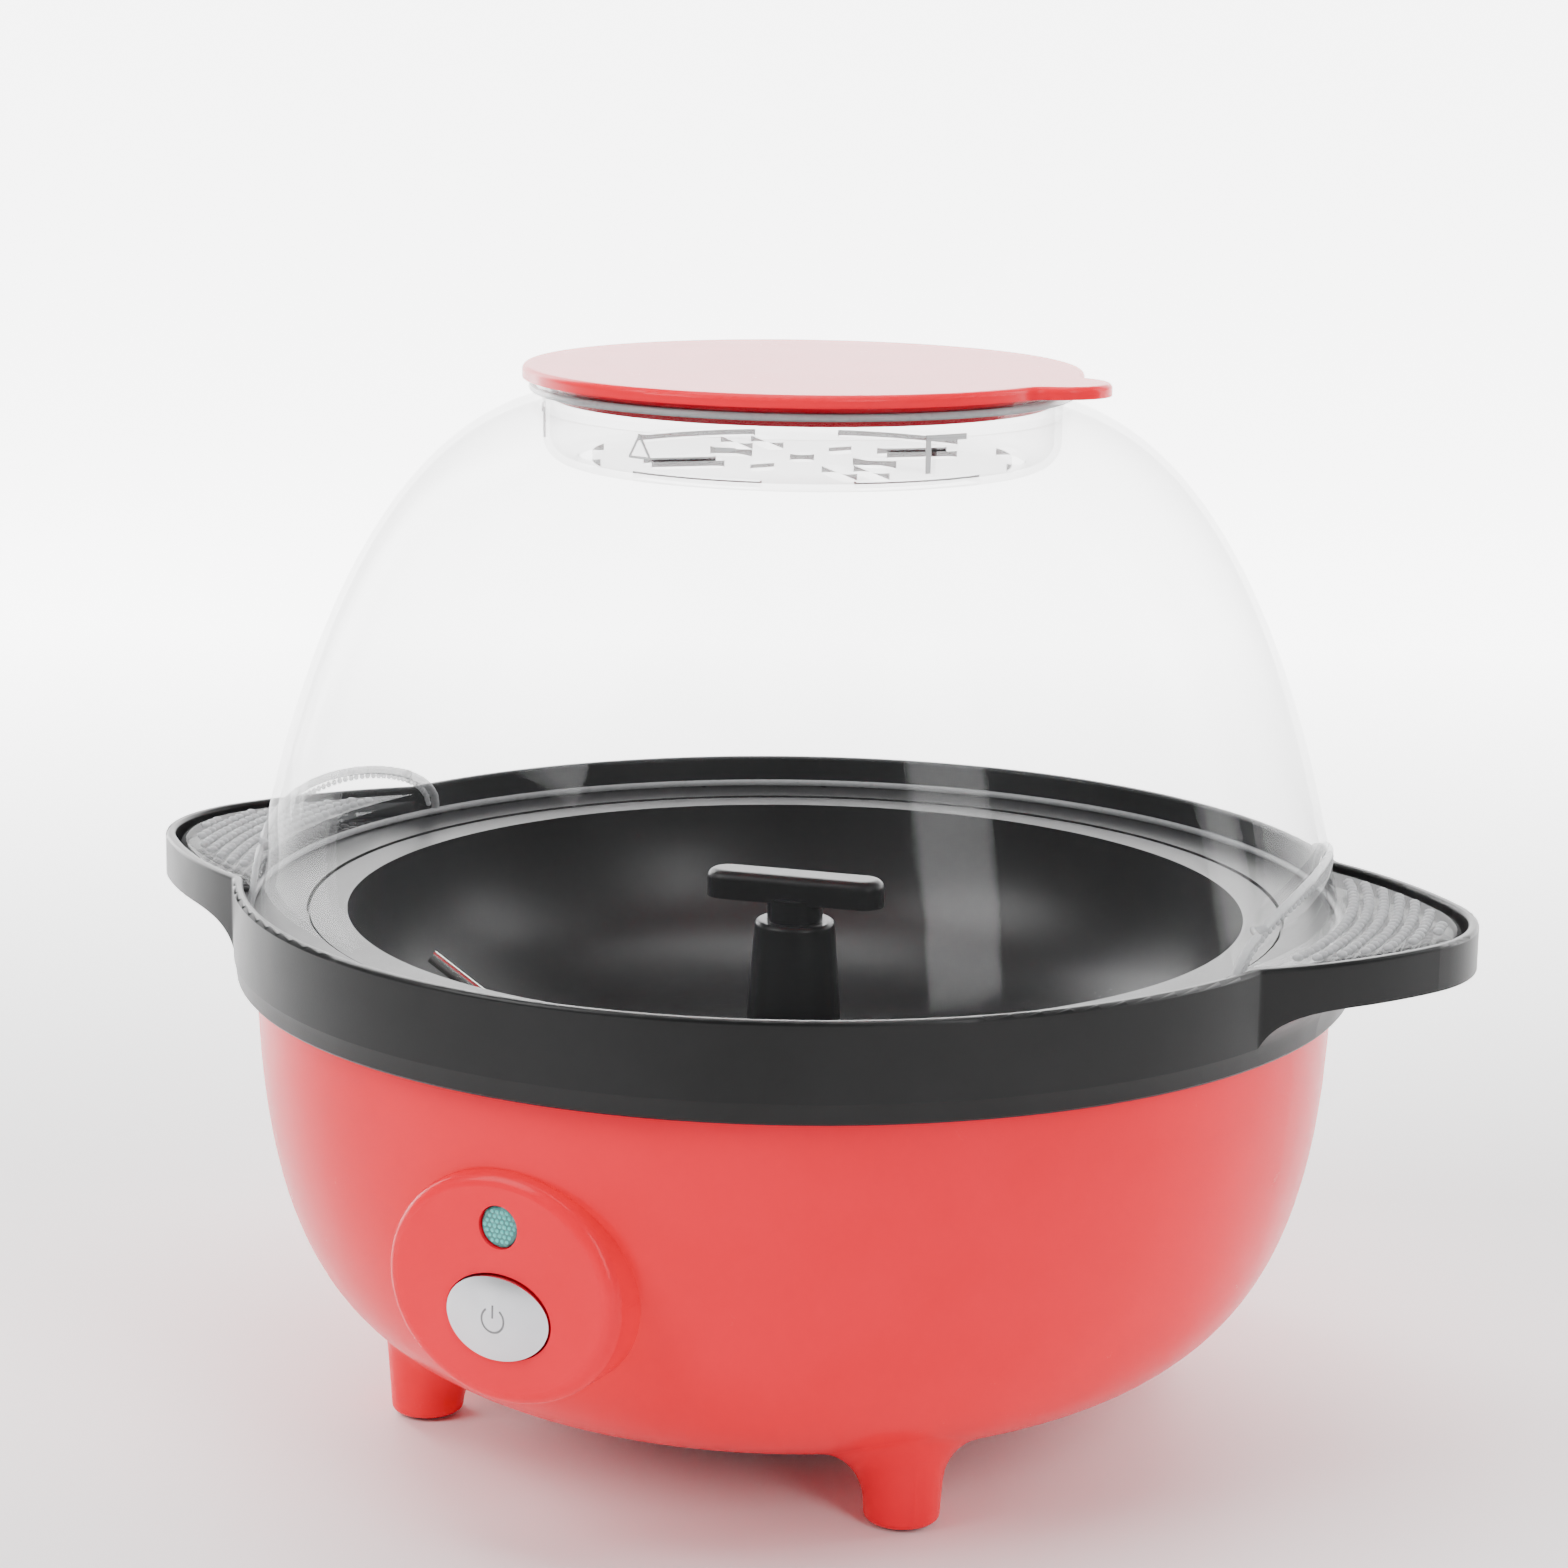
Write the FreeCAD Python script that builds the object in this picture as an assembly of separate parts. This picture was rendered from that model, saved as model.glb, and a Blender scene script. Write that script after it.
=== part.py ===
"""Stirring popcorn maker: a footed bowl housing, a collar with two ears, a heated pot with a motor
stirrer, and a clear dome with a vent tray and a cap. Millimetres, +Z up, origin on the table under
the bowl's axis, control panel towards -Y."""
import FreeCAD, Part
import math
import os

V = FreeCAD.Vector
UP = V(0, 0, 1)
ORIGIN = V(0, 0, 0)
os.makedirs("parts", exist_ok=True)

# ---------------------------------------------------------------- driving dimensions
BASE_H = 135.0              # table to the collar's top edge
WALL = 2.6                  # moulded plastic wall
GAP = 0.4                   # clearance between pieces that are set into each other
RUN = 0.05                  # radial clearance of a turning or sliding fit
PRESS = 0.02                # radial clearance of a piece held on its shaft or in its hole

# housing
BODY_CLEAR = 5.5            # the housing stands this far inside the collar
BODY_SHOULDER_DROP = 17.5   # collar top to where the bowl starts to curve in
BODY_SIDE_PULL = 69.5       # how far the side stays upright
BODY_FLOOR_PULL = 58.4      # how far the floor stays level
BODY_SLOPE_W = 73.5         # side to the flat floor, in plan
FLOOR_Z = 12.0
FLOOR_T = 4.0
FOOT_CIRCLE_SHARE = 0.675   # of the collar's radius
FOOT_R = 8.9
FOOT_DRAFT = 2.6            # how much wider a foot's cone is at its root
FOOT_BLEND = 11.0
FOOT_RISE = 40.0            # how far a foot's cone runs up into the bowl
FOOT_ROUND = 1.6
FOOT_ANGLES = (45, 135, 225, 315)
PAD_R = 6.4
PAD_T = 2.4
PAD_PROUD = 0.8

# control panel
PANEL_SET_BACK = 3.0        # panel face to the collar's outside
PANEL_DROP = 68.7           # collar top to the panel's middle
PANEL_HALF_W = 30.5
PANEL_HALF_H = 27.2
PANEL_EDGE = 3.2
PANEL_DEPTH = 36.0
BUTTON_DROP = 6.3           # panel's middle down to the button
BUTTON_W = 27.0
BUTTON_H = 19.5
BUTTON_PROUD = 2.4
BUTTON_SKIRT = 8.0
LENS_RISE = 14.7            # panel's middle up to the lens
LENS_R = 5.0
LENS_RECESS = 0.7
LENS_LENGTH = 6.0
LENS_RIM = 1.4

# collar
COLLAR_R = 140.0
COLLAR_DRAFT = 1.1
BAND_H = 23.5
BAND_T = 2.6
RIM_H = 8.0                 # rim wall above the ledge
LEDGE_T = 3.0
POT_SEAT_DROP = 2.0
EAR_AZ = 11.6               # the ears stand this far round from square to the panel
EAR_REACH = 30.0            # an ear's tip beyond the band
EAR_NOSE_R = 38.0
EAR_FLANK_R = 130.0
EAR_CORNER_R = 3.0
EAR_SPAN = 24.0             # half-angle at which an ear's flank leaves the band
EAR_ROOT = 12.0
RIM_ROUND = 1.0

# pot and heater
POT_RIM_GAP = 0.8           # flange to the ledge round it
POT_SHARE = 0.8             # of the collar's radius
POT_WALL = 1.6
POT_DEPTH = 45.0            # pot's seat to its floor
POT_SIDE_PULL = 28.0
POT_FLOOR_PULL = 36.0
POT_FLANGE_W = 9.2
ELEMENT_R = 52.0
ELEMENT_ROD_R = 3.3
ELEMENT_MARGIN = 8.0        # flat floor beyond the element's ring
ELEMENT_GAP_DEG = 28.0
SHIELD_DROP = 9.4
SHIELD_RISE = 10.0          # pot floor to the shield's rim
SHIELD_T = 0.8
STUD_CIRCLE_R = 38.0
STUD_R = 2.0

# gear motor
MOTOR_R = 30.0
MOTOR_FLOOR_Z = 26.0
MOTOR_H = 20.0
GEARBOX_H = 14.0
CASE_T = 1.5
BRACKET_T = 1.6
BRACKET_R = 44.0
MODULE = 0.5
ROTOR_TEETH = 12
IDLER_TEETH = 48
IDLER_PINION_TEETH = 14
OUTPUT_TEETH = 46
PRESSURE_DEG = 25.0
BACKLASH = 0.12
GEAR_T = 3.0
SHAFT_R = 3.5
PIN_R = 1.0

# stirrer
HUB_R = 13.0
HUB_DROP = 13.0             # collar top to the hub's top
KNOB_DROP = 1.0
KNOB_LENGTH = 46.0
KNOB_WIDTH = 11.0
KNOB_H = 7.0
ARM_R = 1.8
ARM_SHORT = 15.0            # arm's end to the pot's side
ARM_AZ = 14.0

# lid
DOME_CLEAR = 1.4            # dome to the rim wall round it
DOME_WALL = 2.2
DOME_H = 126.0              # rim to the neck
DOME_LEAN_DEG = 9.9         # the wall's lean at the rim
DOME_SIDE_PULL = 68.2
DOME_TOP_SLOPE_DEG = 14.1
DOME_TOP_PULL = 35.9
DOME_SHOULDER_W = 70.0      # rim to the neck, in plan
NECK_H = 4.0
DOME_EAR_INSET = 3.8        # how far a dome ear stays inside the collar ear's outline
DOME_EAR_H = 7.0
TRAY_DEPTH = 19.0
TRAY_WALL = 1.8
TRAY_ROUND = 6.0
CAP_OVERHANG = 2.5
CAP_T = 3.0
CAP_TAB_REACH = 11.5
CAP_TAB_W = 26.0
CAP_TAB_AZ = 2.0

# ---------------------------------------------------------------- worked out from the above
BODY_R = COLLAR_R - BODY_CLEAR
FOOT_CIRCLE_R = COLLAR_R * FOOT_CIRCLE_SHARE
PANEL_Y = COLLAR_R - PANEL_SET_BACK
EAR_TIP_R = COLLAR_R + EAR_REACH
POT_R = COLLAR_R * POT_SHARE
POT_FLOOR_R = ELEMENT_R + ELEMENT_MARGIN
LEDGE_IN_R = POT_R + POT_FLANGE_W + POT_RIM_GAP
FLOOR_R = BODY_R - BODY_SLOPE_W
ARM_REACH = POT_R - ARM_SHORT
DOME_R = COLLAR_R - BAND_T - DOME_CLEAR
NECK_R = DOME_R - DOME_SHOULDER_W
CAP_R = NECK_R + CAP_OVERHANG
CAP_TAB_R = CAP_R + CAP_TAB_REACH
PANEL_Z = BASE_H - PANEL_DROP
BUTTON_Z = PANEL_Z - BUTTON_DROP
LENS_Z = PANEL_Z + LENS_RISE
HUB_TOP_Z = BASE_H - HUB_DROP
KNOB_TOP_Z = BASE_H - KNOB_DROP
SHOULDER_Z = BASE_H - BODY_SHOULDER_DROP
LEDGE_Z = BASE_H - RIM_H
POT_SEAT_Z = LEDGE_Z - POT_SEAT_DROP
LIP_Z = POT_SEAT_Z - LEDGE_T
POT_FLOOR_Z = POT_SEAT_Z - POT_DEPTH
BAND_BOTTOM_Z = BASE_H - BAND_H
EAR_FLOOR_Z = LEDGE_Z - LEDGE_T
LIP_IN_R = POT_R + POT_WALL + GAP
POT_UNDER_Z = POT_FLOOR_Z - POT_WALL
SHIELD_RIM_Z = POT_FLOOR_Z + SHIELD_RISE
SHIELD_Z = POT_UNDER_Z - SHIELD_DROP
MOTOR_TOP_Z = MOTOR_FLOOR_Z + MOTOR_H
BRACKET_Z = MOTOR_TOP_Z + GEARBOX_H
PANEL_FACE = -PANEL_Y
LID_Z = LEDGE_Z
NECK_Z = LID_Z + DOME_H
NECK_TOP_Z = NECK_Z + NECK_H
FLOOR_IN_Z = FLOOR_Z + FLOOR_T
EAR_CENTRE = EAR_TIP_R - EAR_NOSE_R


# ---------------------------------------------------------------- helpers
def save(name, shape):
    shape.exportStep("parts/%s.step" % name)


def cyl(radius, z0, z1, x=0.0, y=0.0):
    return Part.makeCylinder(radius, z1 - z0, V(x, y, z0), UP)


def ring(outer, inner, z0, z1, x=0.0, y=0.0):
    return cyl(outer, z0, z1, x, y).cut(cyl(inner, z0 - 1, z1 + 1, x, y))


def rod_y(radius, y0, y1, x, z):
    return Part.makeCylinder(radius, y1 - y0, V(x, y0, z), V(0, 1, 0))


def box(x0, x1, y0, y1, z0, z1):
    return Part.makeBox(x1 - x0, y1 - y0, z1 - z0, V(x0, y0, z0))


def turned(shape, azimuth, x=0.0, y=0.0):
    copy = shape.copy()
    copy.rotate(V(x, y, 0), UP, azimuth)
    return copy


def around(shape, azimuths):
    return Part.makeCompound([turned(shape, azimuth) for azimuth in azimuths])


def fused(shapes):
    return shapes[0].multiFuse(list(shapes[1:]))


def line(a, b):
    return Part.makeLine(V(a[0], 0, a[1]), V(b[0], 0, b[1]))


def curve(*poles):
    bezier = Part.BezierCurve()
    bezier.setPoles([V(r, 0, z) for r, z in poles])
    return bezier.toShape()


def outline(points):
    return [line(a, b) for a, b in zip(points, points[1:])]


def revolved(edges):
    return Part.Face(Part.Wire(edges)).revolve(ORIGIN, UP, 360)


def turned_profile(points):
    return revolved(outline(list(points) + [points[0]]))


def arc(centre, radius, start, end):
    def at(angle):
        return centre + V(math.cos(angle), math.sin(angle), 0) * radius
    return Part.Arc(at(start), at((start + end) / 2), at(end)).toShape()


def turned_point(x, y, angle):
    return V(x * math.cos(angle) - y * math.sin(angle), x * math.sin(angle) + y * math.cos(angle), 0)


def oval(half_w, half_h, y, z):
    ellipse = Part.Ellipse(ORIGIN, half_w, half_h)
    face = Part.Face(Part.Wire(ellipse.toShape()))
    face.rotate(ORIGIN, V(1, 0, 0), 90)
    face.translate(V(0, y, z))
    return face


def edges_at_z(shape, z, shortest=0.0):
    flat = [e for e in shape.Edges if abs(e.BoundBox.ZMin - z) < 0.01 and abs(e.BoundBox.ZMax - z) < 0.01]
    return [e for e in flat if e.Length > shortest]


def screw(head_r, head_h, shank_r, length):
    """A pan-head screw with its head's underside at z = 0, pointing down, with a cross recess."""
    head = cyl(head_r, 0, head_h)
    head = head.makeFillet(head_h * 0.4, edges_at_z(head, head_h))
    arm = head_r * 0.55
    slot = head_r * 0.12
    cross = box(-arm, arm, -slot, slot, head_h * 0.4, head_h + 1)
    head = head.cut(cross).cut(turned(cross, 90))
    return head.fuse(cyl(shank_r, -length, 0))


def moved(shape, x, y, z):
    copy = shape.copy()
    copy.translate(V(x, y, z))
    return copy


def flipped(shape):
    copy = shape.copy()
    copy.rotate(ORIGIN, V(1, 0, 0), 180)
    return copy


def tube(points, radius, bend):
    """A round lead along straight runs joined by tangent arcs."""
    edges = []
    start = points[0]
    for i in range(1, len(points) - 1):
        back = (points[i - 1] - points[i]).normalize()
        ahead = (points[i + 1] - points[i]).normalize()
        half = back.getAngle(ahead) / 2
        trim = bend / math.tan(half)
        a = points[i] + back * trim
        b = points[i] + ahead * trim
        middle = (back + ahead).normalize()
        apex = points[i] + middle * (bend / math.sin(half) - bend)
        edges.append(Part.makeLine(start, a))
        edges.append(Part.Arc(a, apex, b).toShape())
        start = b
    edges.append(Part.makeLine(start, points[-1]))
    path = Part.Wire(edges)
    section = Part.Wire(Part.Circle(points[0], points[1] - points[0], radius).toShape())
    return path.makePipeShell([section], True, True)


# ---------------------------------------------------------------- the eared outline
def eared_face(inset):
    """The collar's plan outline moved inwards by inset: two ears, each a nose arc between two fuller
    flank arcs that meet the round band at a corner."""
    span = math.radians(EAR_SPAN)
    corner_x = COLLAR_R * math.cos(span) - EAR_CENTRE
    corner_y = COLLAR_R * math.sin(span)
    to_corner = math.hypot(corner_x, corner_y)
    swing = EAR_FLANK_R - EAR_NOSE_R
    turn = (EAR_FLANK_R ** 2 - to_corner ** 2 - swing ** 2) / (2 * to_corner * swing)
    lean = math.atan2(corner_y, corner_x) - math.acos(turn)
    flank_x = EAR_CENTRE - swing * math.cos(lean)
    flank_y = -swing * math.sin(lean)
    reach = math.hypot(flank_x, flank_y)
    out_r = COLLAR_R + EAR_CORNER_R
    meet = math.acos((out_r ** 2 + reach ** 2 - (EAR_FLANK_R + EAR_CORNER_R) ** 2) / (2 * out_r * reach))
    meet += math.atan2(flank_y, flank_x)
    start = math.atan2(out_r * math.sin(meet) - flank_y, out_r * math.cos(meet) - flank_x)
    corner_r = EAR_CORNER_R + inset
    flank_r = EAR_FLANK_R - inset
    edges = []
    for side in (0, 1):
        spin = side * math.pi
        nose_centre = turned_point(EAR_CENTRE, 0, spin)
        low = turned_point(flank_x, -flank_y, spin)
        high = turned_point(flank_x, flank_y, spin)
        edges.append(arc(turned_point(out_r, 0, spin - meet), corner_r,
                         spin + math.pi - meet, spin + math.pi - start))
        edges.append(arc(low, flank_r, spin - start, spin - lean))
        edges.append(arc(nose_centre, EAR_NOSE_R - inset, spin - lean, spin + lean))
        edges.append(arc(high, flank_r, spin + lean, spin + start))
        edges.append(arc(turned_point(out_r, 0, spin + meet), corner_r,
                         spin + math.pi + start, spin + math.pi + meet))
        edges.append(arc(ORIGIN, COLLAR_R - inset, spin + meet, spin + math.pi - meet))
    face = Part.Face(Part.Wire(edges))
    face.rotate(ORIGIN, UP, EAR_AZ)
    return face


def eared(inset, z0, z1):
    return moved(eared_face(inset).extrude(V(0, 0, z1 - z0)), 0, 0, z0)


# ---------------------------------------------------------------- housing
def bowl_solid(inset, floor_z, top_z):
    top_r = BODY_R - inset
    edges = [line((0, floor_z), (FLOOR_R, floor_z)),
             curve((FLOOR_R, floor_z), (FLOOR_R + BODY_FLOOR_PULL, floor_z),
                   (top_r, SHOULDER_Z - BODY_SIDE_PULL), (top_r, SHOULDER_Z)),
             line((top_r, SHOULDER_Z), (top_r, top_z)),
             line((top_r, top_z), (0, top_z)),
             line((0, top_z), (0, floor_z))]
    return revolved(edges)


def panel_block(inset, edge):
    block = oval(PANEL_HALF_W - inset, PANEL_HALF_H - inset, PANEL_FACE + inset, PANEL_Z)
    block = block.extrude(V(0, PANEL_DEPTH, 0))
    if edge:
        front = [e for e in block.Edges if e.BoundBox.YMax < PANEL_FACE + inset + 0.1]
        block = block.makeFillet(edge, front)
    return block


GLAND_Z = 40.0
GLAND_INSET = 8.5           # bowl's widest radius to the gland's face
GLAND_FACE_Y = BODY_R - GLAND_INSET
GLAND_ROOT_Y = 90.0
GLAND_BOSS_R = 12.0
GLAND_BODY_R = 6.0
GLAND_BORE_R = 3.6
COLLAR_SCREW_GAP = 5.0      # pot's outside to the screws
COLLAR_SCREW_R = POT_R + POT_WALL + COLLAR_SCREW_GAP
COLLAR_SCREW_AZ = (45, 135, 225, 315)
COLLAR_SCREW_SINK = 1.8
COLUMN_R = 4.0
COLUMN_H = 26.0
SCREW_R = 1.5
SCREW_CLEAR_R = 1.7
COVER_MARGIN = 3.5
COVER_R = FLOOR_R - COVER_MARGIN
COVER_HOLE_R = 44.0
COVER_T = 2.0
COVER_SINK = 1.0
SWITCH_POST_X = 17.0
SWITCH_POST_R = 3.2
SWITCH_POST_Z = BUTTON_Z - 4.0
SWITCH_SCREW_R = 1.2
SWITCH_STANDOFF = 18.0
SWITCH_PLATE_Y = PANEL_FACE + SWITCH_STANDOFF


def housing():
    body = bowl_solid(0, FLOOR_Z, LIP_Z)
    for azimuth in FOOT_ANGLES:
        foot = Part.makeCone(FOOT_R, FOOT_R + FOOT_DRAFT, FOOT_RISE, V(FOOT_CIRCLE_R, 0, PAD_PROUD), UP)
        foot = foot.makeFillet(FOOT_ROUND, edges_at_z(foot, PAD_PROUD))
        body = body.fuse(turned(foot, azimuth))
    low_edges = [e for e in body.Edges if FLOOR_Z + 1 < e.BoundBox.ZMin and e.BoundBox.ZMax < FOOT_RISE]
    roots = [e for e in low_edges if e.Length > FOOT_R]
    body = body.makeFillet(FOOT_BLEND, roots)
    body = body.fuse(panel_block(0, PANEL_EDGE))
    body = body.fuse(rod_y(GLAND_BOSS_R, GLAND_ROOT_Y, GLAND_FACE_Y, 0, GLAND_Z))
    hollow = bowl_solid(WALL, FLOOR_IN_Z, LIP_Z + 1)
    hollow = hollow.fuse(panel_block(WALL, 0))
    hollow = hollow.fuse(rod_y(GLAND_BOSS_R - WALL, GLAND_ROOT_Y, GLAND_FACE_Y - WALL, 0, GLAND_Z))
    for azimuth in FOOT_ANGLES:
        well = cyl(FOOT_R - WALL, PAD_T + 2.0, FOOT_RISE, FOOT_CIRCLE_R)
        hollow = hollow.fuse(turned(well, azimuth))
    body = body.cut(hollow)
    inside = bowl_solid(WALL / 2, FLOOR_IN_Z, LIP_Z)
    additions = []
    for azimuth in COLLAR_SCREW_AZ:
        column = cyl(COLUMN_R, LIP_Z - COLUMN_H, LIP_Z, COLLAR_SCREW_R)
        web = box(COLLAR_SCREW_R, BODY_R, -1.5, 1.5, LIP_Z - COLUMN_H, LIP_Z)
        additions.append(turned(column.fuse(web).common(inside), azimuth))
    for x in (-SWITCH_POST_X, SWITCH_POST_X):
        additions.append(rod_y(SWITCH_POST_R, PANEL_FACE + WALL - 0.5, SWITCH_PLATE_Y, x, SWITCH_POST_Z))
    body = body.multiFuse(additions)
    cuts = [cyl(COVER_R + GAP, FLOOR_Z - 1, FLOOR_Z + COVER_T), cyl(COVER_HOLE_R, FLOOR_Z, FLOOR_IN_Z + 1)]
    for azimuth in COLLAR_SCREW_AZ:
        cuts.append(turned(cyl(SCREW_R + PRESS, LIP_Z - 14, LIP_Z + 1, COLLAR_SCREW_R), azimuth))
    for azimuth in FOOT_ANGLES:
        cuts.append(turned(cyl(PAD_R + 0.1, 0, PAD_T, FOOT_CIRCLE_R), azimuth))
    for x in (-SWITCH_POST_X, SWITCH_POST_X):
        cuts.append(rod_y(SWITCH_SCREW_R + PRESS, SWITCH_PLATE_Y - 9, SWITCH_PLATE_Y + 1, x, SWITCH_POST_Z))
    cuts.append(rod_y(LENS_R + 0.1, PANEL_FACE - 1, PANEL_FACE + WALL + 1, 0, LENS_Z))
    slot = oval(BUTTON_W / 2 + GAP, BUTTON_H / 2 + GAP, PANEL_FACE - 1, BUTTON_Z)
    cuts.append(slot.extrude(V(0, WALL + 2, 0)))
    cuts.append(rod_y(GLAND_BODY_R + 0.1, GLAND_FACE_Y - WALL - 1, GLAND_FACE_Y + 1, 0, GLAND_Z))
    for piece in cuts:
        body = body.cut(piece)
    return body


def foot_pads():
    pad = cyl(PAD_R, 0, PAD_T, FOOT_CIRCLE_R)
    pad = pad.makeFillet(0.5, edges_at_z(pad, 0))
    return around(pad, FOOT_ANGLES)


def base_cover():
    cover = cyl(COVER_R, FLOOR_Z, FLOOR_Z + COVER_T)
    slot = box(-1.6, 1.6, 14, 38, FLOOR_Z - 1, FLOOR_Z + COVER_T + 1)
    slot = slot.makeFillet(1.5, [e for e in slot.Edges if abs(e.Length - COVER_T - 2) < 0.1])
    for i in range(12):
        cover = cover.cut(turned(slot, 15 + 30 * i))
    for azimuth in STUD_AZ:
        cover = cover.cut(turned(cyl(SCREW_CLEAR_R, FLOOR_Z - 1, FLOOR_IN_Z, STUD_CIRCLE_R), azimuth))
        cover = cover.cut(turned(cyl(3.4, FLOOR_Z - 1, FLOOR_Z + COVER_SINK, STUD_CIRCLE_R), azimuth))
    return cover


def base_cover_screws():
    one = moved(flipped(screw(3.0, 1.4, SCREW_R, 8)), STUD_CIRCLE_R, 0, FLOOR_Z + COVER_SINK)
    return around(one, STUD_AZ)


# ---------------------------------------------------------------- collar
def collar_ring():
    low_r = COLLAR_R - COLLAR_DRAFT
    root_r = COLLAR_R + EAR_ROOT
    root_z = EAR_FLOOR_Z - EAR_ROOT
    far_r = EAR_TIP_R + 10
    below = [line((root_r, EAR_FLOOR_Z), (far_r, EAR_FLOOR_Z)), line((far_r, EAR_FLOOR_Z), (far_r, 0)),
             line((far_r, 0), (low_r, 0)), line((low_r, 0), (low_r, BAND_BOTTOM_Z)),
             line((low_r, BAND_BOTTOM_Z), (low_r + 0.4, root_z)),
             curve((low_r + 0.4, root_z), (COLLAR_R - 0.2, EAR_FLOOR_Z - 4),
                   (COLLAR_R + 3, EAR_FLOOR_Z), (root_r, EAR_FLOOR_Z))]
    solid = eared(0, BAND_BOTTOM_Z, BASE_H).cut(revolved(below))
    solid = solid.cut(eared(BAND_T, LEDGE_Z, BASE_H + 1))
    solid = solid.cut(cyl(low_r - BAND_T, 0, LIP_Z)).cut(cyl(LIP_IN_R, 0, BASE_H))
    solid = solid.cut(cyl(LEDGE_IN_R, POT_SEAT_Z, BASE_H))
    for azimuth in COLLAR_SCREW_AZ:
        solid = solid.cut(turned(cyl(SCREW_CLEAR_R, LIP_Z - 1, BASE_H, COLLAR_SCREW_R), azimuth))
        solid = solid.cut(turned(cyl(3.2, POT_SEAT_Z - COLLAR_SCREW_SINK, BASE_H, COLLAR_SCREW_R), azimuth))
    return solid.makeFillet(RIM_ROUND, edges_at_z(solid, BASE_H, 5))


def collar_screws():
    one = moved(screw(2.9, 1.6, SCREW_R, 12), COLLAR_SCREW_R, 0, POT_SEAT_Z - COLLAR_SCREW_SINK)
    return around(one, COLLAR_SCREW_AZ)


# ---------------------------------------------------------------- pot and heater
def pot_curve(grow):
    top = (POT_R + grow, POT_SEAT_Z)
    floor = POT_FLOOR_Z - grow
    return [(POT_FLOOR_R, floor), (POT_FLOOR_R + POT_FLOOR_PULL, floor),
            (top[0], top[1] - POT_SIDE_PULL), top]


BUSH_R = 6.5
TERMINAL_R = 3.2
TERMINAL_PIN_R = 1.4
TERMINAL_PIN_H = 8.0
FUSE_X = -24.0
FUSE_Y = -14.0
THERMOSTAT_Y = 22.0
THERMOSTAT_R = 8.0
THERMOSTAT_H = 6.5
FUSE_R = 2.0
FUSE_LENGTH = 12.0
FUSE_HOLD = 0.6             # how far the fuse hangs below the pot
FUSE_Z = POT_UNDER_Z - FUSE_R - FUSE_HOLD
CLIP_W = 5.0


def heating_pot():
    top_z = POT_SEAT_Z + POT_WALL
    inner = pot_curve(0)
    outer = pot_curve(POT_WALL)
    flange_r = POT_R + POT_FLANGE_W
    edges = [line((BUSH_R + PRESS, POT_FLOOR_Z), inner[0]), curve(*inner), line(inner[3], (POT_R, top_z)),
             line((POT_R, top_z), (flange_r, top_z)), line((flange_r, top_z), (flange_r, POT_SEAT_Z)),
             line((flange_r, POT_SEAT_Z), outer[3]), curve(*reversed(outer)),
             line(outer[0], (BUSH_R + PRESS, POT_UNDER_Z)),
             line((BUSH_R + PRESS, POT_UNDER_Z), (BUSH_R + PRESS, POT_FLOOR_Z))]
    return revolved(edges)


STUD_AZ = (0, 90, 180, 270)
SPACER_R = 3.6
STUD_GRIP = 7.0
NUT_T = 3.0


def pot_studs():
    bottom = BRACKET_Z - STUD_GRIP
    return around(cyl(STUD_R, bottom, POT_UNDER_Z, STUD_CIRCLE_R), STUD_AZ)


def spacers(z0, z1):
    return around(ring(SPACER_R, STUD_R + PRESS, z0, z1, STUD_CIRCLE_R), STUD_AZ)


def nut(across, bore, thickness):
    corner = across / math.sqrt(3)
    points = [V(corner * math.cos(math.radians(60 * i)), corner * math.sin(math.radians(60 * i)), 0)
              for i in range(7)]
    return Part.Face(Part.makePolygon(points)).extrude(V(0, 0, thickness)).cut(cyl(bore, -1, thickness + 1))


def tie_posts():
    """Long hexagonal nuts that draw the pot down and the base cover up against the housing."""
    low = FLOOR_Z + COVER_T
    post = moved(nut(7.0, SCREW_R + PRESS, BRACKET_Z - low), 0, 0, low)
    post = post.cut(cyl(STUD_R + PRESS, BRACKET_Z - STUD_GRIP, BRACKET_Z + 1))
    return around(moved(post, STUD_CIRCLE_R, 0, 0), STUD_AZ)


def heat_shield():
    low = pot_curve(POT_UNDER_Z - SHIELD_Z + POT_WALL)
    high = pot_curve(POT_UNDER_Z - SHIELD_Z + POT_WALL - SHIELD_T)
    hole_r = BUSH_R + 4
    edges = [line((hole_r, low[0][1]), low[0]), curve(*low), line(low[3], high[3]),
             curve(*reversed(high)), line(high[0], (hole_r, high[0][1])),
             line((hole_r, high[0][1]), (hole_r, low[0][1]))]
    shield = revolved(edges).common(cyl(COLLAR_R, 0, SHIELD_RIM_Z))
    for azimuth in STUD_AZ:
        shield = shield.cut(turned(cyl(STUD_R + 0.2, SHIELD_Z - 1, POT_UNDER_Z, STUD_CIRCLE_R), azimuth))
    for side in (-1, 1):
        x, y = element_end(side)
        shield = shield.cut(cyl(3.4, SHIELD_Z - 1, POT_UNDER_Z, x, y))
    return shield.cut(cyl(2.2, SHIELD_Z - 1, POT_UNDER_Z, FUSE_X, FUSE_Y))


def element_end(side):
    half = math.radians(ELEMENT_GAP_DEG / 2)
    return ELEMENT_R * math.sin(half) * side, ELEMENT_R * math.cos(half)


def heating_element():
    centre_z = POT_UNDER_Z - ELEMENT_ROD_R + 0.5
    section = Part.Wire(Part.Circle(V(ELEMENT_R, 0, centre_z), V(0, 1, 0), ELEMENT_ROD_R).toShape())
    coil = Part.Face(section).revolve(ORIGIN, UP, 360 - ELEMENT_GAP_DEG)
    coil = turned(coil, 90 + ELEMENT_GAP_DEG / 2)
    return coil.cut(cyl(ELEMENT_R + 20, POT_UNDER_Z, POT_UNDER_Z + 10))


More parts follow.
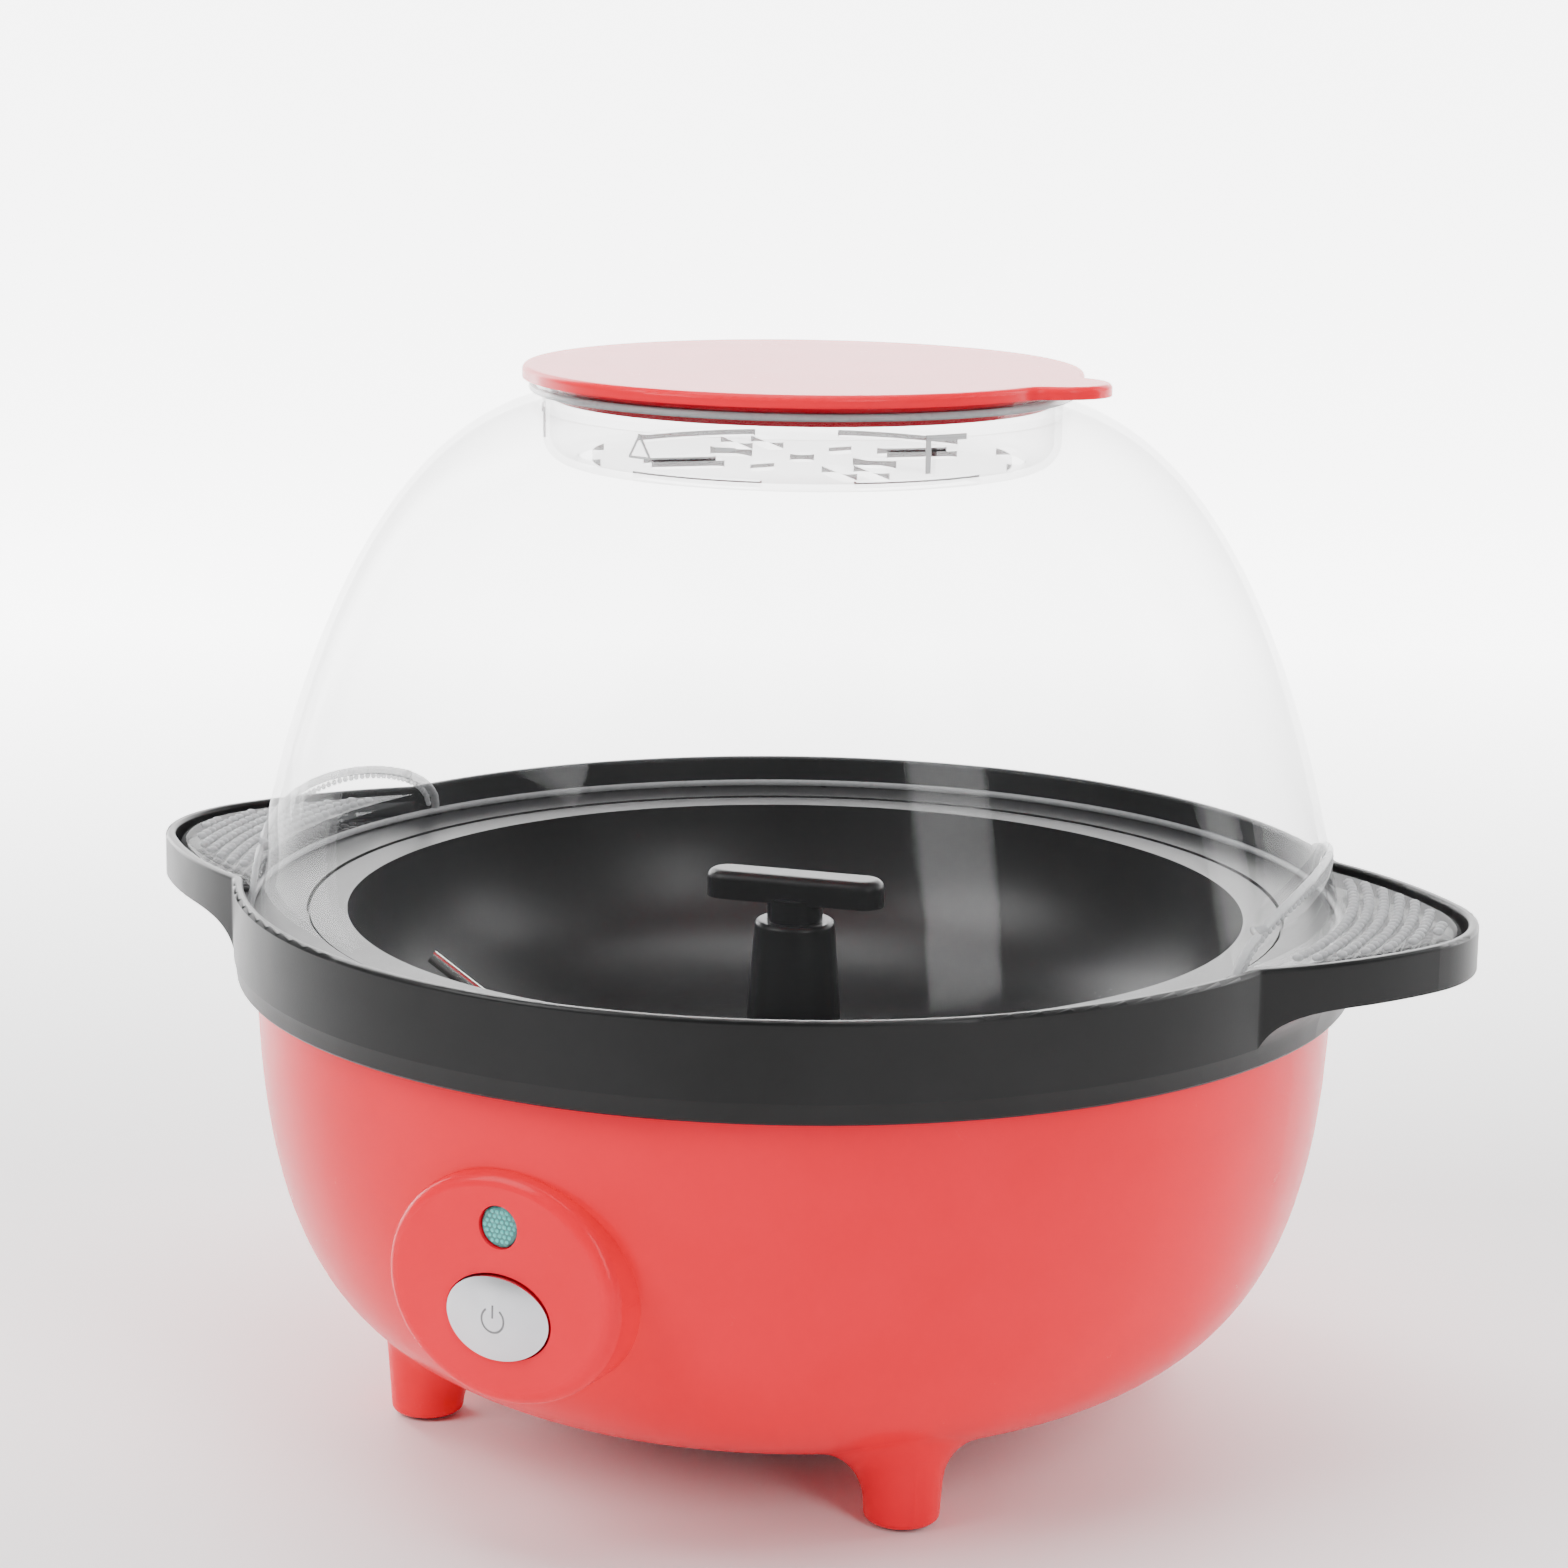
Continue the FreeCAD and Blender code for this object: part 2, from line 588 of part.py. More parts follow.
def element_terminals():
    pins = []
    for side in (-1, 1):
        x, y = element_end(side)
        pin_z = SHIELD_Z - 3
        pins.append(cyl(TERMINAL_R, pin_z, POT_UNDER_Z - 2 * ELEMENT_ROD_R + 0.5, x, y)
                    .fuse(cyl(TERMINAL_PIN_R, pin_z - TERMINAL_PIN_H, pin_z, x, y)))
    return Part.makeCompound(pins)


def thermostat():
    low = POT_UNDER_Z - THERMOSTAT_H
    body = cyl(THERMOSTAT_R, low, POT_UNDER_Z, 0, THERMOSTAT_Y)
    return body.makeFillet(0.8, edges_at_z(body, low))


def thermal_fuse():
    body = Part.makeCylinder(FUSE_R, FUSE_LENGTH, V(FUSE_X - FUSE_LENGTH / 2, FUSE_Y, FUSE_Z), V(1, 0, 0))
    return body.makeFillet(0.5, [e for e in body.Edges if e.BoundBox.XLength < 0.01])


def fuse_clip():
    half = CLIP_W / 2
    saddle = box(FUSE_X - half, FUSE_X + half, FUSE_Y - 6, FUSE_Y + 6, POT_UNDER_Z - FUSE_HOLD, POT_UNDER_Z)
    strap = Part.makeCylinder(FUSE_R + FUSE_HOLD, CLIP_W, V(FUSE_X - half, FUSE_Y, FUSE_Z), V(1, 0, 0))
    hole = Part.makeCylinder(FUSE_R + PRESS, 20, V(FUSE_X - 10, FUSE_Y, FUSE_Z), V(1, 0, 0))
    keep = box(FUSE_X - 10, FUSE_X + 10, FUSE_Y - 8, FUSE_Y + 8, POT_UNDER_Z - 8, POT_UNDER_Z)
    return saddle.fuse(strap).cut(hole).common(keep)


# ---------------------------------------------------------------- gear motor
def involute(angle):
    return math.tan(angle) - angle


def gear(teeth, z0, z1, bore, phase_deg):
    """A straight spur gear with involute flanks and stub teeth."""
    pressure = math.radians(PRESSURE_DEG)
    pitch_r = MODULE * teeth / 2
    base_r = pitch_r * math.cos(pressure)
    tip_r = pitch_r + 0.8 * MODULE
    root_r = pitch_r - 1.05 * MODULE
    half = math.pi / (2 * teeth) - BACKLASH / (2 * pitch_r)
    steps = 4
    first_r = max(base_r, root_r)
    flank = []
    for i in range(steps + 1):
        radius = first_r + (tip_r - first_r) * i / steps
        roll = math.acos(min(1.0, base_r / radius))
        flank.append((radius, half + involute(pressure) - involute(roll)))
    points = []
    for tooth in range(teeth):
        centre = 2 * math.pi * tooth / teeth + math.radians(phase_deg)
        ends = [(root_r, flank[0][1])] + flank
        spots = [(r, centre - a) for r, a in ends] + [(r, centre + a) for r, a in reversed(ends)]
        points += [V(r * math.cos(a), r * math.sin(a), z0) for r, a in spots]
    points.append(points[0])
    kept = [points[0]] + [b for a, b in zip(points, points[1:]) if a.distanceToPoint(b) > 1e-4]
    blank = Part.Face(Part.makePolygon(kept)).extrude(V(0, 0, z1 - z0))
    return blank.cut(cyl(bore, z0 - 1, z1 + 1)) if bore else blank


IDLER_OFFSET = MODULE * (ROTOR_TEETH + IDLER_TEETH) / 2
GEAR_RISE = 1.5             # plate to the first gears, and first gears to the output gear
GEAR_Z = MOTOR_TOP_Z + GEAR_RISE
OUTPUT_Z = GEAR_Z + GEAR_T + GEAR_RISE
MAGNET_R = 9.0
MAGNET_DROP = 3.0           # plate to the magnet
MOTOR_SCREW_Y = (-21, 21)
MOTOR_SCREW_R = 1.25


def motor_can():
    can = cyl(MOTOR_R, MOTOR_FLOOR_Z, MOTOR_TOP_Z - CASE_T)
    can = can.makeFillet(1.2, edges_at_z(can, MOTOR_FLOOR_Z))
    return can.cut(cyl(MOTOR_R - CASE_T, MOTOR_FLOOR_Z + CASE_T, MOTOR_TOP_Z))


def motor_coil():
    top = MOTOR_TOP_Z - CASE_T - MAGNET_DROP
    return ring(MOTOR_R - CASE_T - 0.3, MAGNET_R + 1.5, MOTOR_FLOOR_Z + CASE_T, top)


def gear_plate():
    plate = cyl(MOTOR_R, MOTOR_TOP_Z - CASE_T, MOTOR_TOP_Z)
    plate = plate.cut(cyl(MODULE * ROTOR_TEETH / 2 + 1.2, MOTOR_TOP_Z - 3, MOTOR_TOP_Z + 1))
    return plate.cut(cyl(PIN_R + PRESS, MOTOR_TOP_Z - 3, MOTOR_TOP_Z + 1, IDLER_OFFSET))


def gearbox_cover():
    cover = cyl(MOTOR_R, MOTOR_TOP_Z, BRACKET_Z)
    cover = cover.cut(cyl(MOTOR_R - CASE_T, MOTOR_TOP_Z - 1, BRACKET_Z - CASE_T))
    sleeve = cyl(SHAFT_R + 2.5, OUTPUT_Z + GEAR_T + 0.4, BRACKET_Z - CASE_T)
    bosses = [cyl(3.2, BRACKET_Z - 4, BRACKET_Z - CASE_T, 0, y) for y in MOTOR_SCREW_Y]
    cover = cover.multiFuse([sleeve] + bosses)
    cover = cover.cut(cyl(SHAFT_R + RUN, MOTOR_TOP_Z, BRACKET_Z + 1))
    for y in MOTOR_SCREW_Y:
        cover = cover.cut(cyl(MOTOR_SCREW_R + PRESS, BRACKET_Z - 5, BRACKET_Z + 1, 0, y))
    return cover.cut(cyl(PIN_R + PRESS, BRACKET_Z - 5, BRACKET_Z - CASE_T + 0.8, IDLER_OFFSET))


def gear_pins():
    rotor_pin = cyl(PIN_R, MOTOR_FLOOR_Z + CASE_T, GEAR_Z + GEAR_T + 0.5)
    idler_pin = cyl(PIN_R, MOTOR_TOP_Z - CASE_T, BRACKET_Z - CASE_T, IDLER_OFFSET)
    return Part.makeCompound([rotor_pin, idler_pin])


def rotor():
    magnet = cyl(MAGNET_R, MOTOR_FLOOR_Z + CASE_T + 0.6, MOTOR_TOP_Z - CASE_T - MAGNET_DROP)
    neck = cyl(MODULE * ROTOR_TEETH / 2 - 0.6, MOTOR_TOP_Z - CASE_T - MAGNET_DROP - 0.5, GEAR_Z + 0.1)
    return magnet.fuse(neck).cut(cyl(PIN_R + RUN, 0, BRACKET_Z))


def rotor_pinion():
    return gear(ROTOR_TEETH, GEAR_Z + 0.1, GEAR_Z + GEAR_T, PIN_R + RUN, 0)


def idler_gear():
    phase = 0 if (IDLER_TEETH % 2) else 180.0 / IDLER_TEETH
    wheel = gear(IDLER_TEETH, GEAR_Z, GEAR_Z + GEAR_T, 0, 180 + phase)
    pinion = gear(IDLER_PINION_TEETH, GEAR_Z + GEAR_T, OUTPUT_Z + GEAR_T + 0.3, 0, 180)
    both = wheel.fuse(pinion).cut(cyl(PIN_R + RUN, 0, BRACKET_Z))
    return moved(both, IDLER_OFFSET, 0, 0)


def output_gear():
    phase = 180.0 / OUTPUT_TEETH
    return gear(OUTPUT_TEETH, OUTPUT_Z, OUTPUT_Z + GEAR_T, SHAFT_R + PRESS, phase)


def drive_shaft():
    shaft = cyl(SHAFT_R, OUTPUT_Z, SHAFT_TOP_Z)
    return shaft.makeChamfer(0.5, edges_at_z(shaft, SHAFT_TOP_Z))


def motor_bracket():
    plate = cyl(BRACKET_R, BRACKET_Z, BRACKET_Z + BRACKET_T)
    bars = [box(-50, 50, -14, 14, 0, 200), box(-14, 14, -50, 50, 0, 200)]
    plate = plate.common(fused(bars + [cyl(28, 0, 200)]))
    plate = plate.cut(cyl(SHAFT_R + 1.5, 0, 200))
    for azimuth in STUD_AZ:
        plate = plate.cut(turned(cyl(STUD_R + 0.2, 0, 200, STUD_CIRCLE_R), azimuth))
    for y in MOTOR_SCREW_Y:
        plate = plate.cut(cyl(1.5, 0, 200, 0, y))
    return plate


def motor_screws():
    one = screw(2.6, 1.6, MOTOR_SCREW_R, 5.0)
    return Part.makeCompound([moved(one, 0, y, BRACKET_Z + BRACKET_T) for y in MOTOR_SCREW_Y])


SEAL_R = BUSH_R + 3.0
SEAL_T = 0.8


def shaft_bush():
    body = cyl(BUSH_R, POT_UNDER_Z - 5, POT_FLOOR_Z)
    body = body.fuse(cyl(SEAL_R, POT_FLOOR_Z + SEAL_T, POT_FLOOR_Z + 2.4))
    body = body.fuse(cyl(BUSH_R, POT_FLOOR_Z - 0.5, POT_FLOOR_Z + 1))
    return body.cut(cyl(SHAFT_R + RUN, 0, 200))


def bush_seal():
    return ring(SEAL_R, BUSH_R + PRESS, POT_FLOOR_Z, POT_FLOOR_Z + SEAL_T)


def bush_nut():
    return moved(nut(17.0, BUSH_R + PRESS, NUT_T), 0, 0, POT_UNDER_Z - NUT_T)


# ---------------------------------------------------------------- stirrer
HUB_LOW_Z = POT_FLOOR_Z + 3.4
SHAFT_TOP_Z = HUB_TOP_Z - 6.0
ARM_RISE = 4.0              # hub's underside to the arms


def stir_hub():
    low = HUB_LOW_Z
    hub = Part.makeCone(HUB_R, HUB_R - 3, HUB_TOP_Z - low, V(0, 0, low), UP)
    hub = hub.makeFillet(1.2, edges_at_z(hub, low) + edges_at_z(hub, HUB_TOP_Z))
    hub = hub.cut(cyl(SHAFT_R + PRESS, 0, SHAFT_TOP_Z))
    for side in (0, 180):
        socket = Part.makeCylinder(ARM_R + PRESS, 10, V(HUB_R - 7, 0, low + ARM_RISE), V(1, 0, 0))
        hub = hub.cut(turned(socket, ARM_AZ + side))
    return hub


def stir_arms():
    z = HUB_LOW_Z + ARM_RISE
    arm = tube([V(HUB_R - 6.5, 0, z), V(POT_FLOOR_R + 12, 0, z), V(ARM_REACH, 0, z + 17)], ARM_R, 14.0)
    return around(arm, (ARM_AZ, ARM_AZ + 180))


def stir_knob():
    half = (KNOB_LENGTH - KNOB_WIDTH) / 2
    bar_z = KNOB_TOP_Z - KNOB_H
    bar = box(-half, half, -KNOB_WIDTH / 2, KNOB_WIDTH / 2, bar_z, KNOB_TOP_Z)
    for x in (-half, half):
        bar = bar.fuse(cyl(KNOB_WIDTH / 2, bar_z, KNOB_TOP_Z, x))
    bar = bar.removeSplitter()
    bar = bar.makeFillet(2.4, edges_at_z(bar, KNOB_TOP_Z))
    neck = cyl(7.0, HUB_TOP_Z, bar_z + 1)
    return turned(bar.fuse(neck), EAR_AZ)


# ---------------------------------------------------------------- button, switch and lamp
STEM_R = 3.0
SWITCH_DEPTH = 15.0
SWITCH_HALF = 7.0
PLATE_T = 1.6
PLUNGER_R = 2.0
TAG_LENGTH = 6.0
TAG_X = 4.0
BUTTON_WALL = 1.6
BUTTON_LIP = 0.4
SPRING_WIRE_R = 0.45
SPRING_TURNS = 5.5


def power_button():
    tip_y = PANEL_FACE - BUTTON_PROUD
    body = oval(BUTTON_W / 2, BUTTON_H / 2, PANEL_FACE - BUTTON_LIP, BUTTON_Z)
    body = body.extrude(V(0, BUTTON_SKIRT + BUTTON_LIP, 0))
    dome_r = (BUTTON_W / 2) ** 2 / (2 * (BUTTON_PROUD - BUTTON_LIP))
    ball = Part.makeSphere(dome_r, V(0, tip_y + dome_r, BUTTON_Z))
    crown = oval(BUTTON_W / 2, BUTTON_H / 2, tip_y - 1, BUTTON_Z).extrude(V(0, BUTTON_PROUD + 2, 0))
    crown = crown.common(ball)
    inside = oval(BUTTON_W / 2 - BUTTON_WALL, BUTTON_H / 2 - BUTTON_WALL, PANEL_FACE + BUTTON_WALL, BUTTON_Z)
    inside = inside.extrude(V(0, BUTTON_SKIRT, 0))
    stem = rod_y(STEM_R, PANEL_FACE + 1, SWITCH_PLATE_Y + PLATE_T + 0.4, 0, BUTTON_Z)
    return body.fuse(crown).cut(inside).fuse(stem)


def switch_bracket():
    plate = box(-22, 22, SWITCH_PLATE_Y, SWITCH_PLATE_Y + PLATE_T, BUTTON_Z - 10, BUTTON_Z + 12)
    plate = plate.cut(rod_y(STEM_R + 0.3, -200, 0, 0, BUTTON_Z))
    for x in (-SWITCH_POST_X, SWITCH_POST_X):
        plate = plate.cut(rod_y(SWITCH_SCREW_R + 0.2, -200, 0, x, SWITCH_POST_Z))
    return plate


def switch_screws():
    one = screw(2.4, 1.5, SWITCH_SCREW_R, 8.0)
    one.rotate(ORIGIN, V(1, 0, 0), -90)
    y = SWITCH_PLATE_Y + PLATE_T
    return Part.makeCompound([moved(one, x, y, SWITCH_POST_Z) for x in (-SWITCH_POST_X, SWITCH_POST_X)])


SWITCH_FRONT_Y = SWITCH_PLATE_Y + PLATE_T


def power_switch():
    body = box(-SWITCH_HALF, SWITCH_HALF, SWITCH_FRONT_Y, SWITCH_FRONT_Y + SWITCH_DEPTH,
               BUTTON_Z - SWITCH_HALF, BUTTON_Z + SWITCH_HALF)
    body = body.cut(rod_y(STEM_R + 0.3, SWITCH_FRONT_Y - 1, SWITCH_FRONT_Y + 4.5, 0, BUTTON_Z))
    return body.cut(rod_y(PLUNGER_R + RUN, SWITCH_FRONT_Y, SWITCH_FRONT_Y + 11, 0, BUTTON_Z))


def switch_plunger():
    return rod_y(PLUNGER_R, SWITCH_FRONT_Y + 0.4, SWITCH_FRONT_Y + 8, 0, BUTTON_Z)


def switch_tags():
    y = SWITCH_FRONT_Y + SWITCH_DEPTH
    return Part.makeCompound([box(x - 0.4, x + 0.4, y, y + TAG_LENGTH, BUTTON_Z - 2.4, BUTTON_Z + 2.4)
                              for x in (-TAG_X, TAG_X)])


def button_spring():
    coil_r = STEM_R + 1.2
    start_y = PANEL_FACE + BUTTON_WALL + SPRING_WIRE_R + RUN
    height = SWITCH_PLATE_Y - start_y - SPRING_WIRE_R - RUN
    helix = Part.makeHelix(height / SPRING_TURNS, height, coil_r)
    section = Part.Wire(Part.Circle(V(coil_r, 0, 0), V(0, 1, 0), SPRING_WIRE_R).toShape())
    coil = Part.Wire(helix).makePipeShell([section], True, True)
    coil.rotate(ORIGIN, V(1, 0, 0), -90)
    return moved(coil, 0, start_y, BUTTON_Z)


def indicator_lens():
    lens = rod_y(LENS_R, PANEL_FACE + LENS_RECESS, PANEL_FACE + LENS_LENGTH, 0, LENS_Z)
    front = [e for e in lens.Edges if e.BoundBox.YMax < PANEL_FACE + LENS_RECESS + 0.1]
    lens = lens.makeFillet(0.8, front)
    return lens.fuse(rod_y(LENS_R + LENS_RIM, PANEL_FACE + WALL, PANEL_FACE + WALL + LENS_RIM, 0, LENS_Z))


LAMP_Y = PANEL_FACE + LENS_LENGTH + GAP
LAMP_R = 2.2
LAMP_LENGTH = 9.0


def indicator_lamp():
    glass = rod_y(LAMP_R, LAMP_Y, LAMP_Y + LAMP_LENGTH, 0, LENS_Z)
    return glass.makeFillet(1.6, [e for e in glass.Edges if e.BoundBox.YMax < LAMP_Y + 0.1])


def lamp_holder():
    """A cap that snaps over the lens's back and carries the lamp."""
    back = LAMP_Y + LAMP_LENGTH
    cup = rod_y(LENS_R + LENS_RIM, PANEL_FACE + WALL + LENS_RIM, back + 2, 0, LENS_Z)
    cup = cup.cut(rod_y(LENS_R + PRESS, PANEL_FACE, back - 4, 0, LENS_Z))
    return cup.cut(rod_y(LAMP_R + PRESS, PANEL_FACE, back, 0, LENS_Z))


# ---------------------------------------------------------------- wiring
BLOCK_Y0 = 45.0
BLOCK_D = 14.0
BLOCK_H = 10.0
BLOCK_HALF = 14.0
LEAD_R = 1.3
BLOCK_HOLE_R = 1.8
BLOCK_X = (-9, 0, 9)
BLOCK_MID_Y = BLOCK_Y0 + BLOCK_D / 2


def terminal_block():
    block = box(-BLOCK_HALF, BLOCK_HALF, BLOCK_Y0, BLOCK_Y0 + BLOCK_D, FLOOR_IN_Z, FLOOR_IN_Z + BLOCK_H)
    for x in BLOCK_X:
        block = block.cut(cyl(BLOCK_HOLE_R, FLOOR_IN_Z + 4, FLOOR_IN_Z + BLOCK_H + 1, x, BLOCK_MID_Y))
    return block


def block_screws():
    one = screw(1.7, 2.0, 1.2, 0.5)
    z = FLOOR_IN_Z + BLOCK_H - 3
    return Part.makeCompound([moved(one, x, BLOCK_MID_Y, z) for x in BLOCK_X])


def cord_gland():
    body = rod_y(GLAND_BODY_R, GLAND_FACE_Y - 14, GLAND_FACE_Y, 0, GLAND_Z)
    flange = rod_y(GLAND_BODY_R + 3, GLAND_FACE_Y, GLAND_FACE_Y + 2.5, 0, GLAND_Z)
    flange = flange.makeFillet(1.2, [e for e in flange.Edges if e.BoundBox.YMin > GLAND_FACE_Y + 2.4])
    return body.fuse(flange).cut(rod_y(GLAND_BORE_R, GLAND_FACE_Y - 20, GLAND_FACE_Y + 10, 0, GLAND_Z))


def gland_nut():
    hexagon = nut(16.0, GLAND_BODY_R + PRESS, NUT_T)
    hexagon.rotate(ORIGIN, V(1, 0, 0), 90)
    return moved(hexagon, 0, GLAND_FACE_Y - WALL, GLAND_Z)


def wire_live():
    """Terminal block to one switch tag, round the motor's left side."""
    z = FLOOR_IN_Z + BLOCK_H / 2
    tag_y = SWITCH_FRONT_Y + SWITCH_DEPTH + TAG_LENGTH
    return tube([V(-BLOCK_HALF, BLOCK_MID_Y, z + 1), V(-30, BLOCK_MID_Y, z + 1),
                 V(-50, BLOCK_Y0 - 12, z + 9), V(-58, 0, z + 16),
                 V(-44, -52, z + 26), V(-TAG_X, -76, BUTTON_Z), V(-TAG_X, tag_y, BUTTON_Z)], LEAD_R, 12.0)


def wire_switched():
    """The other switch tag to one element terminal, round the motor's right side."""
    tag_y = SWITCH_FRONT_Y + SWITCH_DEPTH + TAG_LENGTH
    x, y = element_end(1)
    return tube([V(TAG_X, tag_y, BUTTON_Z), V(TAG_X, -76, BUTTON_Z), V(46, -50, BUTTON_Z - 14),
                 V(60, 0, BUTTON_Z - 20), V(50, 42, BUTTON_Z - 22), V(x, y, BUTTON_Z - 22),
                 V(x, y, SHIELD_Z - 11)], LEAD_R, 7.0)


def wire_neutral():
    """Terminal block up to the other element terminal."""
    z = FLOOR_IN_Z + BLOCK_H
    x, y = element_end(-1)
    return tube([V(-9, BLOCK_Y0 + BLOCK_D, z - 5), V(-9, BLOCK_Y0 + BLOCK_D + 11, z - 5),
                 V(x, y + 9, z + 14), V(x, y, z + 18), V(x, y, SHIELD_Z - 11)], LEAD_R, 3.0)


# ---------------------------------------------------------------- lid
def dome_curve(inset):
    """From the rim up to the neck: a leaning side that turns over into a gently sloped top."""
    lean = math.radians(DOME_LEAN_DEG)
    slope = math.radians(DOME_TOP_SLOPE_DEG)
    rim_r = DOME_R - inset
    top_z = NECK_Z - inset
    side = (rim_r - DOME_SIDE_PULL * math.sin(lean), LID_Z + DOME_SIDE_PULL * math.cos(lean))
    top = (NECK_R + DOME_TOP_PULL * math.cos(slope), top_z - DOME_TOP_PULL * math.sin(slope))
    return [(rim_r, LID_Z), side, top, (NECK_R, top_z)]


def dome_shell():
    outer = dome_curve(0)
    inner = dome_curve(DOME_WALL)
    neck_in = NECK_R - DOME_WALL
    edges = [curve(*outer), line(outer[3], (NECK_R, NECK_TOP_Z)),
             line((NECK_R, NECK_TOP_Z), (neck_in, NECK_TOP_Z)),
             line((neck_in, NECK_TOP_Z), (neck_in, inner[3][1])), line((neck_in, inner[3][1]), inner[3]),
             curve(*reversed(inner)), line(inner[0], outer[0])]
    return revolved(edges)


def dome_solid_inside():
    inner = dome_curve(DOME_WALL / 2)
    edges = [curve(*inner), line(inner[3], (0, inner[3][1])), line((0, inner[3][1]), (0, LID_Z - 1)),
             line((0, LID_Z - 1), (inner[0][0], LID_Z - 1)), line((inner[0][0], LID_Z - 1), inner[0])]
    return revolved(edges)


def dome():
    inset = DOME_EAR_INSET
    top_z = LID_Z + DOME_EAR_H
    ears = eared(inset, LID_Z, top_z)
    ears = ears.makeFillet(3.0, edges_at_z(ears, top_z))
    ears = ears.cut(eared(inset + DOME_WALL, LID_Z - 1, top_z - DOME_WALL))
    ears = ears.cut(dome_solid_inside())
    sector = turned(Part.makeCylinder(EAR_TIP_R + 10, 60, V(0, 0, LID_Z - 20), UP, 2 * EAR_SPAN),
                    EAR_AZ - EAR_SPAN)
    ears = ears.common(sector.fuse(turned(sector, 180)))
    return dome_shell().fuse(ears)


LID_GAP = 0.35
TRAY_R = NECK_R - DOME_WALL - LID_GAP
TRAY_FLANGE_T = 1.4
TRAY_FLANGE_R = NECK_R + 0.8
SLOT_IN = 12.0              # tray's side to the long slots
SLOT_W = 3.5
SLOT_SPAN = 36.0
PETAL_NEAR = 22.0
PETAL_FAR = 40.0
PETAL_HALF = 2.2
PETAL_STEP = 8.0
DIAMOND_NEAR = 14.0
DIAMOND_FAR = 26.0
DIAMOND_HALF = 3.2
CAP_SKIRT = 5.0
CAP_SKIRT_T = 1.8
CAP_TAB_ROUND = 7.0
CAP_EDGE_ROUND = 1.3


def vent_tray():
    floor_z = NECK_TOP_Z - TRAY_DEPTH
    outer = cyl(TRAY_R, floor_z, NECK_TOP_Z + TRAY_FLANGE_T)
    outer = outer.makeFillet(TRAY_ROUND, edges_at_z(outer, floor_z))
    inner = cyl(TRAY_R - TRAY_WALL, floor_z + TRAY_WALL, NECK_TOP_Z + TRAY_FLANGE_T + 1)
    inner = inner.makeFillet(TRAY_ROUND - TRAY_WALL, edges_at_z(inner, floor_z + TRAY_WALL))
    tray = outer.fuse(cyl(TRAY_FLANGE_R, NECK_TOP_Z, NECK_TOP_Z + TRAY_FLANGE_T)).cut(inner)
    low = floor_z - 1
    high = floor_z + TRAY_WALL + 1
    long_slot = ring(TRAY_R - SLOT_IN + SLOT_W, TRAY_R - SLOT_IN, low, high)
    wedge = Part.makeCylinder(TRAY_R, high - low, V(0, 0, low), UP, SLOT_SPAN)
    long_slot = long_slot.common(wedge)
    petal = box(PETAL_NEAR, PETAL_FAR, -PETAL_HALF, PETAL_HALF, low, high)
    petal = petal.makeFillet(2.0, [e for e in petal.Edges if abs(e.Length - (high - low)) < 0.01])
    middle = (DIAMOND_NEAR + DIAMOND_FAR) / 2
    corners = [V(DIAMOND_NEAR, 0, low), V(middle, -DIAMOND_HALF, low), V(DIAMOND_FAR, 0, low),
               V(middle, DIAMOND_HALF, low), V(DIAMOND_NEAR, 0, low)]
    diamond = Part.Face(Part.makePolygon(corners)).extrude(V(0, 0, high - low))
    for i in range(6):
        tray = tray.cut(turned(long_slot, 30 - SLOT_SPAN / 2 + 60 * i))
    for i in range(4):
        tray = tray.cut(turned(petal, 45 + 90 * i)).cut(turned(moved(petal, 0, PETAL_STEP, 0), 45 + 90 * i))
        tray = tray.cut(turned(diamond, 90 * i))
    return tray.cut(cyl(3.0, low, high))


def top_cap():
    base_z = NECK_TOP_Z + TRAY_FLANGE_T
    disc = cyl(CAP_R, base_z, base_z + CAP_T)
    tab = box(0, CAP_TAB_R - CAP_TAB_W / 2, -CAP_TAB_W / 2, CAP_TAB_W / 2, base_z, base_z + CAP_T)
    tab = tab.fuse(cyl(CAP_TAB_W / 2, base_z, base_z + CAP_T, CAP_TAB_R - CAP_TAB_W / 2))
    disc = disc.fuse(turned(tab, CAP_TAB_AZ)).removeSplitter()
    corners = [e for e in disc.Edges if abs(e.Length - CAP_T) < 0.01 and math.hypot(e.CenterOfMass.x,
               e.CenterOfMass.y) > CAP_R - 2]
    disc = disc.makeFillet(CAP_TAB_ROUND, corners)
    disc = disc.makeFillet(CAP_EDGE_ROUND, edges_at_z(disc, base_z + CAP_T))
    skirt_r = TRAY_R - TRAY_WALL - LID_GAP
    skirt = ring(skirt_r, skirt_r - CAP_SKIRT_T, base_z - CAP_SKIRT, base_z + 0.5)
    return disc.fuse(skirt)


